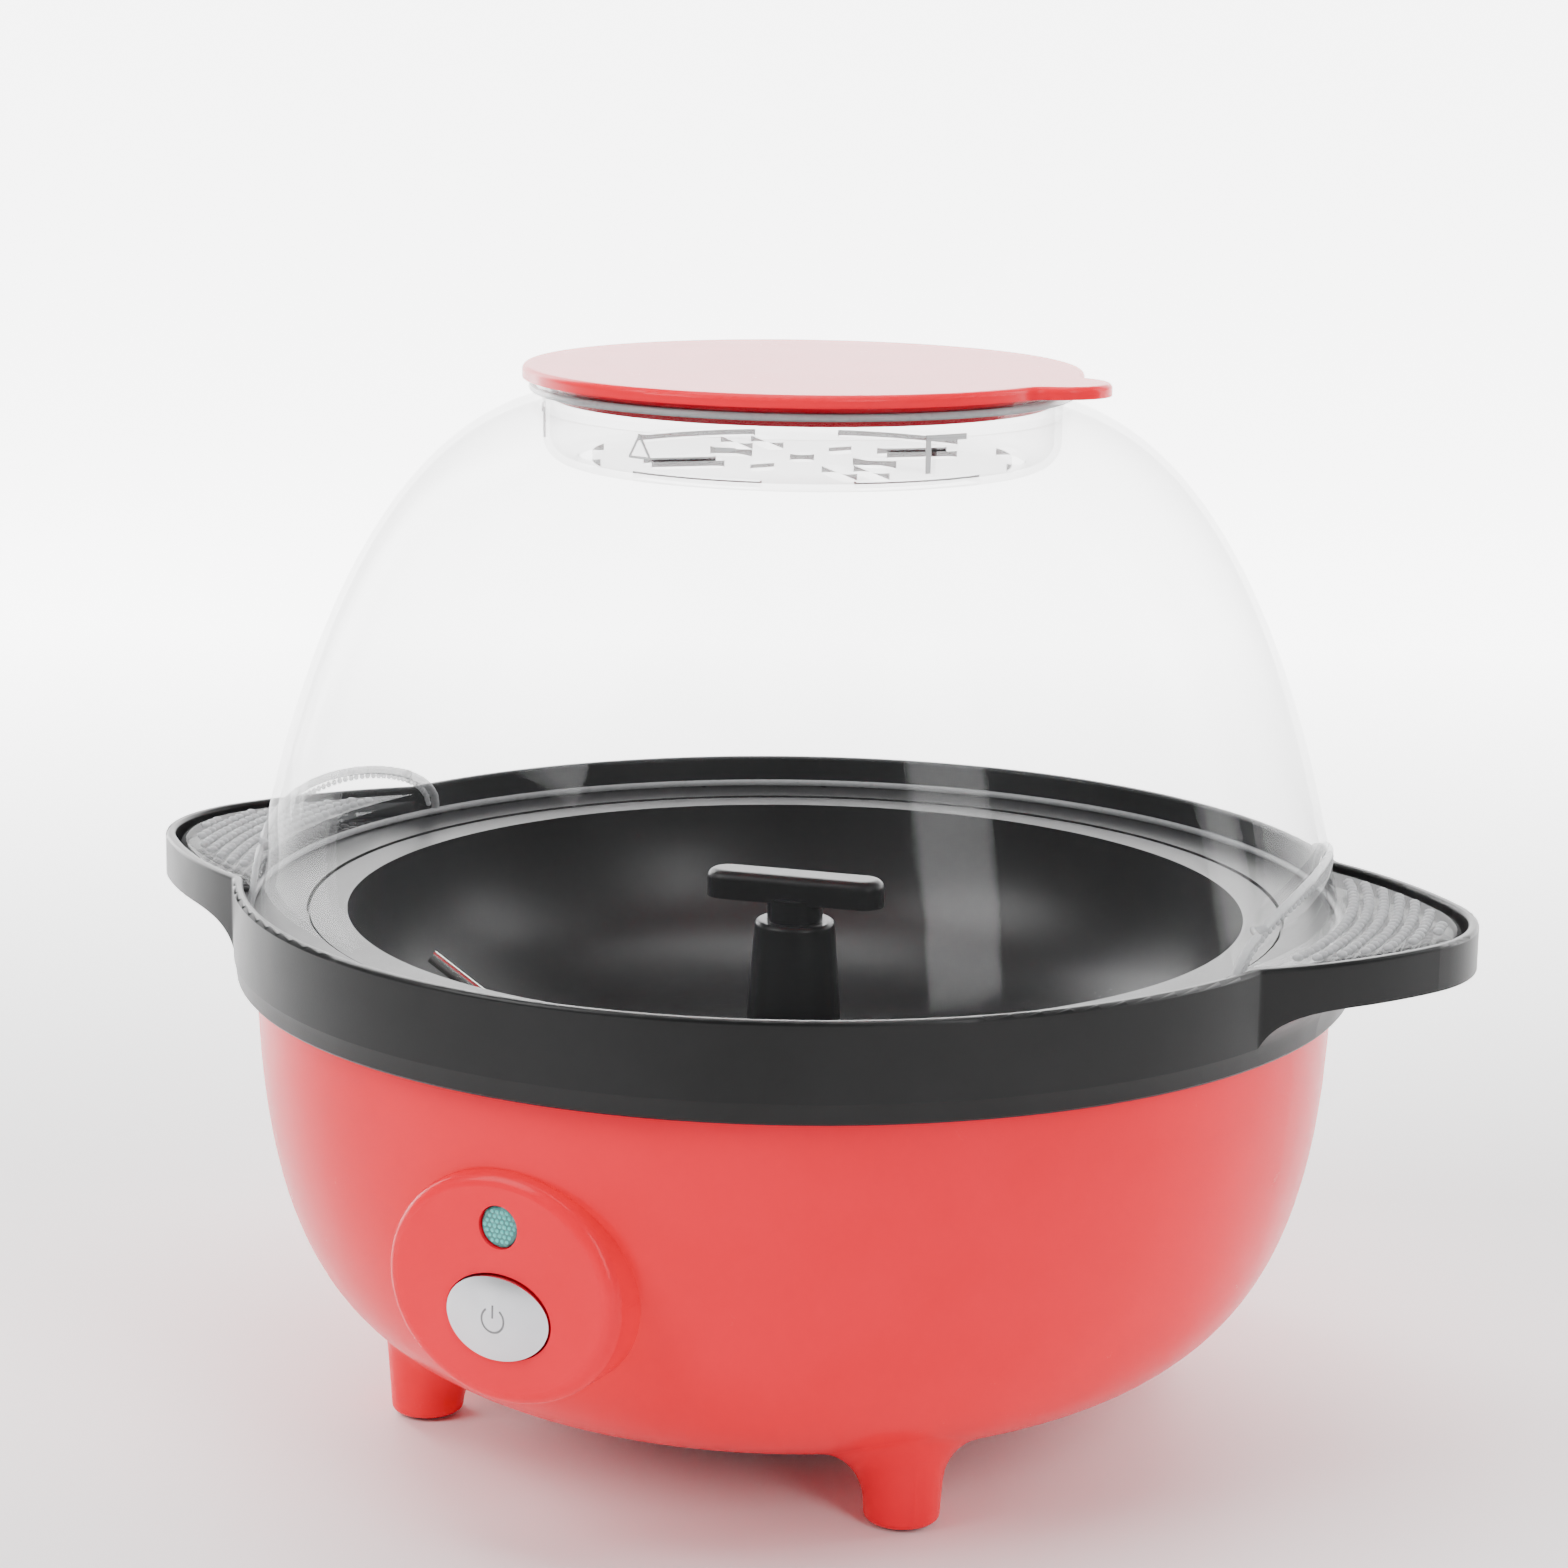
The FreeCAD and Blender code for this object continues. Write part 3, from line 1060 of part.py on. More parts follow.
SPACER_LOW = (BRACKET_Z + BRACKET_T, SHIELD_Z)
SPACER_HIGH = (SHIELD_Z + SHIELD_T, POT_UNDER_Z)
PIECES = {
    "housing": housing, "foot_pads": foot_pads, "base_cover": base_cover,
    "base_cover_screws": base_cover_screws, "collar_ring": collar_ring, "collar_screws": collar_screws,
    "heating_pot": heating_pot, "pot_studs": pot_studs, "tie_posts": tie_posts,
    "bracket_spacers": lambda: spacers(*SPACER_LOW), "shield_spacers": lambda: spacers(*SPACER_HIGH),
    "heat_shield": heat_shield, "heating_element": heating_element, "element_terminals": element_terminals,
    "thermostat": thermostat, "thermal_fuse": thermal_fuse, "fuse_clip": fuse_clip,
    "motor_can": motor_can, "motor_coil": motor_coil, "gear_plate": gear_plate,
    "gearbox_cover": gearbox_cover, "gear_pins": gear_pins, "rotor": rotor, "rotor_pinion": rotor_pinion,
    "idler_gear": idler_gear, "output_gear": output_gear, "drive_shaft": drive_shaft,
    "motor_bracket": motor_bracket, "motor_screws": motor_screws, "shaft_bush": shaft_bush,
    "bush_seal": bush_seal, "bush_nut": bush_nut, "stir_hub": stir_hub, "stir_arms": stir_arms,
    "stir_knob": stir_knob, "power_button": power_button, "switch_bracket": switch_bracket,
    "switch_screws": switch_screws, "power_switch": power_switch, "switch_plunger": switch_plunger,
    "switch_tags": switch_tags, "button_spring": button_spring, "indicator_lens": indicator_lens,
    "indicator_lamp": indicator_lamp, "lamp_holder": lamp_holder, "terminal_block": terminal_block,
    "block_screws": block_screws, "cord_gland": cord_gland, "gland_nut": gland_nut,
    "wire_live": wire_live, "wire_switched": wire_switched, "wire_neutral": wire_neutral,
    "dome": dome, "vent_tray": vent_tray, "top_cap": top_cap,
}

for name, make in PIECES.items():
    save(name, make())
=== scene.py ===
"""Stirring popcorn maker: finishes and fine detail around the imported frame. Metres, +Z up."""

import math

import bmesh
import bpy
from bpy.props import FloatProperty, FloatVectorProperty, IntProperty, PointerProperty
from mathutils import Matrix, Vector


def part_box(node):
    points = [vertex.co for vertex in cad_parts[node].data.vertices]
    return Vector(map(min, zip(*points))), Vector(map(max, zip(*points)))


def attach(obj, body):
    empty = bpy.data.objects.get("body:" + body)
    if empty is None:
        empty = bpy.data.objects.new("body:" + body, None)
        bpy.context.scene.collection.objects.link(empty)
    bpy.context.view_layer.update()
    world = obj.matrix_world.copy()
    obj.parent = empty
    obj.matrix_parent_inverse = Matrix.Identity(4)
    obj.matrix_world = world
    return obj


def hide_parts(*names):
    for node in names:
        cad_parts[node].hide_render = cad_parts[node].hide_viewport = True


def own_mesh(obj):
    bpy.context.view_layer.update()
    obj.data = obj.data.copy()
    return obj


bl_info = {
    "name": "Popcorn Maker",
    "version": (1, 0, 0),
    "blender": (4, 5, 0),
    "location": "View3D > Sidebar > Popcorn Maker",
    "description": "Builds the finishes, the moulded detail and the studio of a stirring popcorn maker",
    "category": "Object",
}

bpy.ops.wm.read_factory_settings(use_empty=True)
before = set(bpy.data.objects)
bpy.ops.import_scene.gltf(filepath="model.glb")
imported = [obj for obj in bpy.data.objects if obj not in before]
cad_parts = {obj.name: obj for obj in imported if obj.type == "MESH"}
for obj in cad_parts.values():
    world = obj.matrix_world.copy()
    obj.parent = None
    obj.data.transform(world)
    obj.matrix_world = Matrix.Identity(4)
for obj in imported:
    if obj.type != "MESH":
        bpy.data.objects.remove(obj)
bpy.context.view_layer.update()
MM = 0.001

# The frame's own sizes, read from its nodes.
POT_LOW, POT_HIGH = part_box("heating_pot")
COLLAR_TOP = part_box("collar_ring")[1].z
DOME_LOW, DOME_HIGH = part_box("dome")
BUTTON_LOW, BUTTON_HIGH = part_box("power_button")
LENS_LOW, LENS_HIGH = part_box("indicator_lens")
TRAY_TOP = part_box("vent_tray")[1].z

# How the ears stand, and where the moulded detail sits on the frame's parts.
EAR_TURN = math.radians(11.6)
EAR_SIDE = 0.8  # cosine from an ear's middle beyond which the dome's wall is plain
COLLAR_TRAY_DEPTH = 8 * MM
COLLAR_STUD_MARGIN = 5.6 * MM
DOME_EAR_RISE = 7 * MM
DOME_STUD_MARGIN = 8.4 * MM
ARCH_RISE = 0.8 * MM
ARCH_DOTS = 60
ARCH_DOT_GAP = 2.6 * MM
DOME_LEAN = 0.17  # upward part of the wall's outward direction near the rim
NECK_R = 66.0 * MM
RIM_LIP = 0.85 * MM
BUTTON_CROWN_R = 45.6 * MM
JEWEL_FIELD_R = 4.1 * MM
TRAY_WALL_R = 63.5 * MM
BAYONET_AZIMUTHS = (205, 325, 85)  # degrees

# The studio: the camera looks along FORWARD, and the floor curves up behind the object.
FORWARD = Vector((-0.477, 0.879, 0.0)).normalized()
CAMERA_PLACE = (0.4247, -0.7882, 0.3507)
CAMERA_PITCH = math.radians(12.22)
CAMERA_ROLL = math.radians(0.84)
CAMERA_LENS = 84.12
CAMERA_SHIFT = -0.0015
FLOOR_FRONT = -3.0
FLOOR_BEND_START = 1.4
FLOOR_BEND_R = 1.0
FLOOR_TOP = 2.6
FLOOR_HALF_WIDTH = 4.0
WORLD_STRENGTH = 0.14
SOFTBOXES = (
    ("key", (-0.9, -1.3, 1.3), (1.0, 1.2), 30.0),
    ("fill", (1.5, -0.8, 0.9), (0.5, 1.3), 15.0),
    ("back left", (-1.3, 0.5, 0.6), (0.3, 1.2), 12.0),
    ("back right", (1.1, 0.9, 0.6), (0.3, 1.2), 10.0),
    ("top", (0.0, 0.0, 1.9), (1.3, 1.3), 30.0),
)


# ------------------------------------------------------------------ sizes and colours
def length(name, default, description):
    return FloatProperty(name=name, description=description, default=default, min=0.0,
                         precision=5, subtype="DISTANCE", unit="LENGTH")


def colour(name, default, description):
    return FloatVectorProperty(name=name, description=description, default=default, size=4,
                               min=0.0, max=1.0, subtype="COLOR")


class PopcornMakerSizes(bpy.types.PropertyGroup):
    """Sizes of the moulded detail."""

    stud_reach: length("Stud reach", 1.75 * MM, "Half of a grip stud along the ear")
    stud_width: length("Stud width", 1.3 * MM, "Half of a grip stud across the ear")
    stud_height: length("Stud height", 1.15 * MM, "How far a grip stud stands up")
    stud_pitch: length("Stud pitch", 3.3 * MM, "Distance between studs in a row")
    row_pitch: length("Row pitch", 3.7 * MM, "Distance between rows of studs")
    first_row: length("First row", 138.8 * MM, "Radius of the row nearest the pot")
    rows: IntProperty(name="Rows", description="Rows of studs on each ear", default=7, min=1)
    ear_turn: FloatProperty(name="Ear turn", description="How far the ears stand round from square",
                            default=EAR_TURN, subtype="ANGLE", unit="ROTATION")
    ear_centre: length("Ear centre", 132.0 * MM, "Axis to the middle of an ear's nose")
    ear_nose: length("Ear nose", 38.0 * MM, "Radius of an ear's nose")
    ear_flank: length("Ear flank", 130.0 * MM, "Radius of an ear's flanks")
    ear_lean: FloatProperty(name="Ear lean", description="Where an ear's nose runs into its flanks",
                            default=math.radians(33.65), subtype="ANGLE", unit="ROTATION")
    arch_half: FloatProperty(name="Arch half-width", description="Half the angle an arch spans",
                             default=math.radians(26.0), subtype="ANGLE", unit="ROTATION")
    arch_height: length("Arch height", 19.0 * MM, "How high an arch rises on the dome")
    arch_band: length("Arch band", 1.2 * MM, "Half the width of an arch's smooth band")
    bead: length("Bead", 0.85 * MM, "Radius of a bead on an arch")
    neck_lip: length("Neck lip", 0.9 * MM, "Radius of the rolled lip of the dome's neck")
    pot_mouth: length("Pot mouth", 112.0 * MM, "Inside radius of the pot at its rim")
    pot_floor: length("Pot floor", 60.0 * MM, "Radius of the pot's flat floor")
    pot_bore: length("Pot bore", 6.52 * MM, "Radius of the hole for the shaft's bush")
    pot_wall: length("Pot wall", 1.6 * MM, "Thickness of the pot")
    pot_side: length("Pot side pull", 28.0 * MM, "How far the pot's side stays upright")
    pot_curl: length("Pot floor pull", 36.0 * MM, "How far the pot's floor stays level")
    mark_radius: length("Mark radius", 2.9 * MM, "Radius of the power mark")
    mark_line: length("Mark line", 0.3 * MM, "Half the width of the power mark's line")
    spring_wire: length("Spring wire", 0.45 * MM, "Radius of the return spring's wire")
    spring_turns: FloatProperty(name="Spring turns", description="Turns of the return spring",
                                default=5.5, min=1.0)
    jewel: length("Jewel", 0.50 * MM, "Radius of one facet bead of the lamp lens")


class PopcornMakerColours(bpy.types.PropertyGroup):
    """Colours of the finishes."""

    body: colour("Body", (0.97, 0.004, 0.030, 1), "Glossy moulded housing and cap")
    body_deep: colour("Body depth", (0.92, 0.003, 0.025, 1), "Slow variation in the housing")
    trim: colour("Trim", (0.006, 0.006, 0.0062, 1), "Satin black collar, hub and knob")
    trim_worn: colour("Trim sheen", (0.010, 0.010, 0.0104, 1), "Slow variation in the trim")
    silver: colour("Silver", (0.78, 0.78, 0.80, 1), "Button")
    lens: colour("Lens", (0.003, 0.16, 0.15, 1), "Lamp lens")
    # Painted glint: a light green that stands for light caught on the lamp lens's facets and jewels.
    lens_painted_glint: colour("Lens painted glint", (0.16, 0.80, 0.74, 1), "Painted glints on the lamp lens facets")
    clear: colour("Clear", (0.14, 0.145, 0.15, 1), "Clear plastic seen square on")
    clear_edge: colour("Clear edge", (0.52, 0.53, 0.54, 1), "Clear plastic seen edge on")
    frosted: colour("Frosted", (0.66, 0.67, 0.68, 1), "Moulded texture on the clear plastic")
    nonstick: colour("Nonstick", (0.012, 0.012, 0.0125, 1), "Coated pot")
    floor: colour("Floor", (0.88, 0.88, 0.88, 1), "Studio floor")


def sizes():
    return bpy.context.scene.popcorn_sizes


def colours():
    return bpy.context.scene.popcorn_colours


# ------------------------------------------------------------------ node building
class Value:
    """A socket in a node tree. Arithmetic on it adds Math nodes."""

    def __init__(self, nodes, socket):
        self.nodes = nodes
        self.socket = socket

    def math(self, operation, *terms):
        return self.nodes.add("ShaderNodeMath", {"operation": operation}, dict(enumerate(terms)))

    def __add__(self, other):
        return self.math("ADD", self, other)

    __radd__ = __add__

    def __mul__(self, other):
        return self.math("MULTIPLY", self, other)

    def __sub__(self, other):
        return self.math("SUBTRACT", self, other)

    def __neg__(self):
        return self.math("MULTIPLY", self, -1.0)

    def __pow__(self, other):
        return self.math("POWER", self, other)


class Nodes:
    """Adds nodes to a tree, a type, its settings and its sockets at a time."""

    def __init__(self, tree):
        self.tree = tree

    def add(self, kind, settings=None, sockets=None, output=0):
        node = self.tree.nodes.new(kind)
        for name, value in (settings or {}).items():
            setattr(node, name, value)
        for key, value in (sockets or {}).items():
            self.feed(node.inputs[key], value)
        if not node.outputs:
            return node
        return Value(self, node.outputs[output])

    def feed(self, socket, value):
        if isinstance(value, Value):
            self.tree.links.new(value.socket, socket)
        else:
            socket.default_value = value


class Finish(Nodes):
    """A material under construction."""

    def __init__(self, name):
        self.material = bpy.data.materials.new(name)
        self.material.use_nodes = True
        super().__init__(self.material.node_tree)
        self.tree.nodes.clear()
        self.place = self.add("ShaderNodeTexCoord", output=3)

    def noise(self, size, detail=3.0, stretch=None):
        where = self.place
        if stretch:
            where = self.add("ShaderNodeMapping", {}, {"Vector": where, "Scale": stretch})
        return self.add("ShaderNodeTexNoise", {},
                        {"Vector": where, "Scale": 1.0 / size, "Detail": detail})

    def cells(self, size):
        return self.add("ShaderNodeTexVoronoi", {}, {"Vector": self.place, "Scale": 1.0 / size})

    def mix(self, factor, first, second):
        return self.add("ShaderNodeMix", {"data_type": "RGBA"}, {0: factor, 6: first, 7: second}, 2)

    def between(self, value, low, high, to_low=0.0, to_high=1.0):
        return self.add("ShaderNodeMapRange", {},
                        {0: value, 1: low, 2: high, 3: to_low, 4: to_high})

    def bump(self, height, distance, strength=0.5):
        return self.add("ShaderNodeBump", {}, {"Height": height, "Distance": distance,
                                               "Strength": strength})

    def surface(self, **sockets):
        named = {name.replace("_", " "): value for name, value in sockets.items()}
        shader = self.add("ShaderNodeBsdfPrincipled", {}, named)
        self.add("ShaderNodeOutputMaterial", {}, {"Surface": shader})
        return self.material


def moulded(name, main, depth, rough, spread=0.10, grain=0.6 * MM, relief=0.01 * MM, gloss=0.0,
            shine=0.5):
    """Moulded plastic: slow colour drift, a fine grain and uneven polish."""
    finish = Finish(name)
    drift = finish.between(finish.noise(45 * MM, 2.0), 0.35, 0.65)
    fine = finish.noise(grain, 4.0)
    patch = finish.noise(9 * MM, 3.0)
    return finish.surface(
        Base_Color=finish.mix(drift, main, depth),
        Roughness=rough + (patch - 0.5) * spread + (fine - 0.5) * (spread * 0.5),
        Normal=finish.bump(fine, relief), Coat_Weight=gloss, Coat_Roughness=0.06,
        Specular_IOR_Level=shine)


def metal(name, main, depth, rough, spread=0.16, stretch=None, grain=1.2 * MM, relief=0.008 * MM):
    """Bare or plated metal: drawn or cast grain and duller patches."""
    finish = Finish(name)
    drift = finish.between(finish.noise(14 * MM, 3.0), 0.3, 0.7)
    fine = finish.noise(grain, 5.0, stretch)
    return finish.surface(
        Base_Color=finish.mix(drift, main, depth), Metallic=1.0,
        Roughness=rough + (fine - 0.5) * spread + drift * 0.06,
        Normal=finish.bump(fine, relief))


def coated(name, main):
    """Nonstick coating: an orange-peel skin with sparse pale flecks."""
    finish = Finish(name)
    flecks = finish.between(finish.cells(2.6 * MM), 0.10, 0.16, 1.0, 0.0)
    peel = finish.noise(1.1 * MM, 2.0)
    wear = finish.between(finish.noise(30 * MM, 4.0), 0.45, 0.75)
    return finish.surface(
        Base_Color=finish.mix(flecks * 0.12, main, (0.20, 0.20, 0.21, 1)),
        Roughness=0.36 + wear * 0.05 + (peel - 0.5) * 0.06,
        Normal=finish.bump(peel, 0.015 * MM), Specular_IOR_Level=0.35)


def see_through(name, main, edge, thin, thick, rough=0.05):
    """Clear plastic: nearly invisible square on, grey and denser where it is seen edge on."""
    finish = Finish(name)
    facing = finish.add("ShaderNodeLayerWeight", {}, {"Blend": 0.45}, 1)
    haze = finish.between(finish.noise(26 * MM, 3.0), 0.4, 0.7)
    rim = facing ** 5.0
    return finish.surface(
        Base_Color=finish.mix(facing ** 3.0, main, edge),
        Alpha=thin + haze * 0.01 + rim * (thick - thin),
        Roughness=rough + haze * 0.03, IOR=2.0, Specular_IOR_Level=1.0)


def frosted(name, main, depth):
    """Moulded texture on clear plastic: half seen through, with cloudy patches."""
    finish = Finish(name)
    cloud = finish.noise(1.5 * MM, 3.0)
    return finish.surface(Base_Color=finish.mix(cloud, main, depth), Alpha=0.35 + cloud * 0.3,
                          Roughness=0.22 + cloud * 0.15, Normal=finish.bump(cloud, 0.02 * MM))


def glazed_lens(name, main, light):
    """Tinted lamp lens: dark green with painted glints between its cells, which its faint glow repeats.
    """
    finish = Finish(name)
    cell = finish.cells(1.5 * MM)
    # Painted glint: this cell mask paints the light argument's colour into the base and emission
    # colours.
    painted_glint = finish.between(cell, 0.15, 0.55, 1.0, 0.0)
    return finish.surface(
        Base_Color=finish.mix(painted_glint * 0.28, main, light), Roughness=0.10 + cell * 0.1,
        Normal=finish.bump(cell, 0.2 * MM), Emission_Color=finish.mix(painted_glint * 0.5, main, light),
        Emission_Strength=0.10, Coat_Weight=0.6, Coat_Roughness=0.03)


def wound(name, main, depth):
    """Enamelled winding: close turns that catch the light."""
    finish = Finish(name)
    turns = finish.add("ShaderNodeTexWave", {"bands_direction": "Z"},
                       {"Vector": finish.place, "Scale": 1.0 / (2.4 * MM), "Distortion": 1.2}, 1)
    drift = finish.noise(6 * MM)
    return finish.surface(Base_Color=finish.mix(drift, main, depth), Metallic=0.9,
                          Roughness=0.28 + turns * 0.2, Normal=finish.bump(turns, 0.15 * MM))


def studio_floor(name, main):
    """Pale seamless paper with a faint tooth and a painted glow of its own, none near the object and
    rising behind it.
    """
    finish = Finish(name)
    tooth = finish.noise(3 * MM, 4.0)
    drift = finish.noise(0.6, 2.0)
    split = finish.add("ShaderNodeSeparateXYZ", {}, {0: finish.place})
    across = Value(finish, split.socket.node.outputs[1])
    behind = split * FORWARD.x + across * FORWARD.y
    # Painted glow: the floor's emission brightens the farther the floor lies behind the object.
    painted_glow = finish.between(behind, 0.15, 1.1) ** 1.2
    return finish.surface(Base_Color=finish.mix(drift * 0.15, main, (0.76, 0.76, 0.765, 1)),
                          Roughness=0.55 + tooth * 0.1, Normal=finish.bump(tooth, 0.05 * MM),
                          Emission_Color=finish.mix(painted_glow, (0, 0, 0, 1), (1, 1, 1, 1)),
                          Emission_Strength=5.0)


def make_finishes():
    """One finish for each material slot of the record."""
    c = colours()
    return {
        "red_plastic": moulded("red plastic", c.body, c.body_deep, 0.26, 0.05, gloss=0.08,
                               shine=0.10),
        "black_plastic": moulded("black plastic", c.trim, c.trim_worn, 0.34, 0.08, 0.5 * MM,
                                 0.02 * MM, shine=0.25),
        "nonstick": coated("nonstick coating", c.nonstick),
        "rubber_pad": moulded("rubber", (0.03, 0.03, 0.032, 1), (0.05, 0.05, 0.05, 1), 0.75,
                              0.15, 0.4 * MM, 0.05 * MM),
        "cover_plastic": moulded("cover plastic", (0.035, 0.035, 0.037, 1),
                                 (0.05, 0.05, 0.052, 1), 0.55, 0.12, 0.7 * MM, 0.04 * MM),
        "zinc_steel": metal("zinc plated steel", (0.62, 0.63, 0.64, 1), (0.48, 0.49, 0.50, 1), 0.32),
        "spring_steel": metal("spring steel", (0.42, 0.42, 0.44, 1), (0.30, 0.30, 0.32, 1), 0.28),
        "stainless": metal("stainless rod", (0.66, 0.65, 0.64, 1), (0.55, 0.54, 0.53, 1), 0.20,
                           0.12, (1, 1, 6)),
        "sheet_aluminium": metal("sheet aluminium", (0.78, 0.79, 0.80, 1),
                                 (0.66, 0.67, 0.68, 1), 0.34, 0.2, (1, 9, 1)),
        "element_sheath": metal("element sheath", (0.20, 0.18, 0.17, 1), (0.32, 0.27, 0.22, 1),
                                0.46, 0.2, None, 0.9 * MM, 0.03 * MM),
        "ceramic": moulded("ceramic", (0.80, 0.78, 0.74, 1), (0.72, 0.69, 0.64, 1), 0.5, 0.15,
                           0.5 * MM, 0.03 * MM),
        "brass_fitting": metal("brass", (0.72, 0.52, 0.20, 1), (0.58, 0.40, 0.15, 1), 0.26),
        "copper_coil": wound("copper winding", (0.75, 0.30, 0.14, 1), (0.55, 0.18, 0.08, 1)),
        "magnet": metal("magnet", (0.10, 0.10, 0.105, 1), (0.16, 0.16, 0.165, 1), 0.55),
        "acetal": moulded("acetal", (0.86, 0.85, 0.80, 1), (0.80, 0.79, 0.73, 1), 0.38, 0.1),
        "silver_button": metal("silver paint", c.silver, (0.66, 0.66, 0.69, 1), 0.20, 0.05, None,
                               0.25 * MM, 0.004 * MM),
        "grey_moulding": moulded("grey moulding", (0.20, 0.20, 0.21, 1), (0.25, 0.25, 0.26, 1),
                                 0.5, 0.12),
        "green_lens": glazed_lens("lamp lens", c.lens, c.lens_painted_glint),
        "lamp_glass": see_through("lamp glass", (0.95, 0.9, 0.8, 1), (0.5, 0.4, 0.3, 1), 0.2, 0.8),
        "wire_red": moulded("red sleeve", (0.55, 0.02, 0.02, 1), (0.42, 0.015, 0.015, 1), 0.42),
        "wire_blue": moulded("blue sleeve", (0.02, 0.07, 0.45, 1), (0.015, 0.05, 0.33, 1), 0.42),
        "clear_plastic": see_through("clear plastic", c.clear, c.clear_edge, 0.035, 0.55),
        "frosted": frosted("frosted plastic", c.frosted, (0.45, 0.46, 0.47, 1)),
        # Painted glint: the lens jewels take the light green of the painted glints, not the lens's own
        # dark green.
        "jewel": moulded("lens jewel", c.lens_painted_glint, (0.10, 0.60, 0.56, 1), 0.12, 0.05),
        "clear_mark": moulded("raised mark", c.frosted, (0.80, 0.81, 0.82, 1), 0.3),
        "silicone": moulded("silicone", (0.62, 0.14, 0.08, 1), (0.50, 0.11, 0.06, 1), 0.6, 0.1,
                            0.5 * MM, 0.02 * MM),
    }


FINISHES = {}


def finish_of(slot):
    if not FINISHES:
        FINISHES.update(make_finishes())
    return FINISHES[slot]


# ------------------------------------------------------------------ mesh helpers
def new_object(name, mesh):
    piece = bpy.data.objects.new(name, mesh)
    bpy.context.scene.collection.objects.link(piece)
    return piece


def from_faces(name, verts, faces):
    """A closed mesh from points and faces, doubles merged and normals outward."""
    mesh = bpy.data.meshes.new(name)
    mesh.from_pydata([tuple(v) for v in verts], [], faces)
    shape = bmesh.new()
    shape.from_mesh(mesh)
    bmesh.ops.remove_doubles(shape, verts=shape.verts, dist=1e-7)
    bmesh.ops.recalc_face_normals(shape, faces=shape.faces)
    shape.to_mesh(mesh)
    shape.free()
    mesh.shade_smooth()
    mesh.set_sharp_from_angle(angle=math.radians(40))
    return new_object(name, mesh)


def bar_along(path, sides, offsets, closed=False):
    """Verts and faces of a bar that follows path; sides are (u, v) axes at each point."""
    verts = []
    for point, (u, v) in zip(path, sides):
        verts += [point + u * a + v * b for a, b in offsets]
    count = len(offsets)
    spans = len(path) if closed else len(path) - 1
    faces = []
    for i in range(spans):
        here = i * count
        there = ((i + 1) % len(path)) * count
        for k in range(count):
            n = (k + 1) % count
            faces.append((here + k, there + k, there + n, here + n))
    if not closed:
        faces.append(tuple(range(count)))
        faces.append(tuple(len(verts) - 1 - k for k in range(count)))
    return verts, faces


def disc_offsets(radius_u, radius_v, count):
    return [(radius_u * math.cos(2 * math.pi * k / count), radius_v * math.sin(2 * math.pi * k / count))
            for k in range(count)]


def gather(parts):
    """Joins lists of verts and faces into one list of each."""
    verts = []
    faces = []
    for part_verts, part_faces in parts:
        base = len(verts)
        verts += part_verts
        faces += [tuple(base + k for k in face) for face in part_faces]
    return verts, faces


def finished(piece, body, slot, replaced=(), look=None):
    """Gives a piece its finish, picked by its slot unless a look is given, and the body it rides on."""
    piece.data.materials.clear()
    piece.data.materials.append(finish_of(look or slot))
    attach(piece, body)
    if replaced:
        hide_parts(*replaced)
    return piece


# ------------------------------------------------------------------ geometry node trees
class Growth(Nodes):
    """A geometry node tree under construction, with named inputs."""

    def __init__(self, name):
        super().__init__(bpy.data.node_groups.new(name, "GeometryNodeTree"))
        self.tree.interface.new_socket(name="Geometry", in_out="INPUT",
                                       socket_type="NodeSocketGeometry")
        self.tree.interface.new_socket(name="Geometry", in_out="OUTPUT",
                                       socket_type="NodeSocketGeometry")
        self.source = self.tree.nodes.new("NodeGroupInput")
        self.keys = {}

    def geometry(self):
        return Value(self, self.source.outputs[0])

    def size(self, name):
        socket = self.tree.interface.new_socket(name=name, in_out="INPUT",
                                                socket_type="NodeSocketFloat")
        self.keys[name] = socket.identifier
        return Value(self, self.source.outputs[name])

    def end(self, shape, material, smooth=True):
        """Realize Instances, then the finish, closes every tree."""
        real = self.add("GeometryNodeRealizeInstances", {}, {0: shape})
        soft = self.add("GeometryNodeSetShadeSmooth", {}, {0: real, 2: smooth})
        done = self.add("GeometryNodeSetMaterial", {}, {0: soft, 2: material})
        self.add("NodeGroupOutput", {}, {0: done})


def grown(name, base, growth, values):
    """Runs a tree on a base mesh and keeps the result as a plain mesh."""
    piece = new_object(name, base)
    modifier = piece.modifiers.new("growth", "NODES")
    modifier.node_group = growth.tree
    for key, value in values.items():
        modifier[growth.keys[key]] = value
    depsgraph = bpy.context.evaluated_depsgraph_get()
    mesh = bpy.data.meshes.new_from_object(piece.evaluated_get(depsgraph), depsgraph=depsgraph)
    piece.modifiers.clear()
    piece.data = mesh
    mesh.name = name
    return piece


def points_mesh(name, points):
    mesh = bpy.data.meshes.new(name)
    mesh.from_pydata([tuple(p) for p in points], [], [])
    return mesh


def stud_growth(name, slot, segments=8, rings=6, smooth=True):
    """Rounded studs on points, each turned to face the axis."""
    growth = Growth(name)
    reach = growth.size("Reach")
    width = growth.size("Width")
    height = growth.size("Height")
    ball = growth.add("GeometryNodeMeshUVSphere", {},
                      {"Segments": segments, "Rings": rings, "Radius": 1.0})
    where = growth.add("GeometryNodeInputPosition")
    split = growth.add("ShaderNodeSeparateXYZ", {}, {0: where})
    across = Value(growth, split.socket.node.outputs[1])
    azimuth = split.math("ARCTAN2", across, split)
    turn = growth.add("ShaderNodeCombineXYZ", {}, {2: azimuth})
    size = growth.add("ShaderNodeCombineXYZ", {}, {0: reach, 1: width, 2: height})
    studs = growth.add("GeometryNodeInstanceOnPoints", {},
                       {"Points": growth.geometry(), "Instance": ball, "Rotation": turn,
                        "Scale": size})
    growth.end(studs, finish_of(slot), smooth)
    return growth


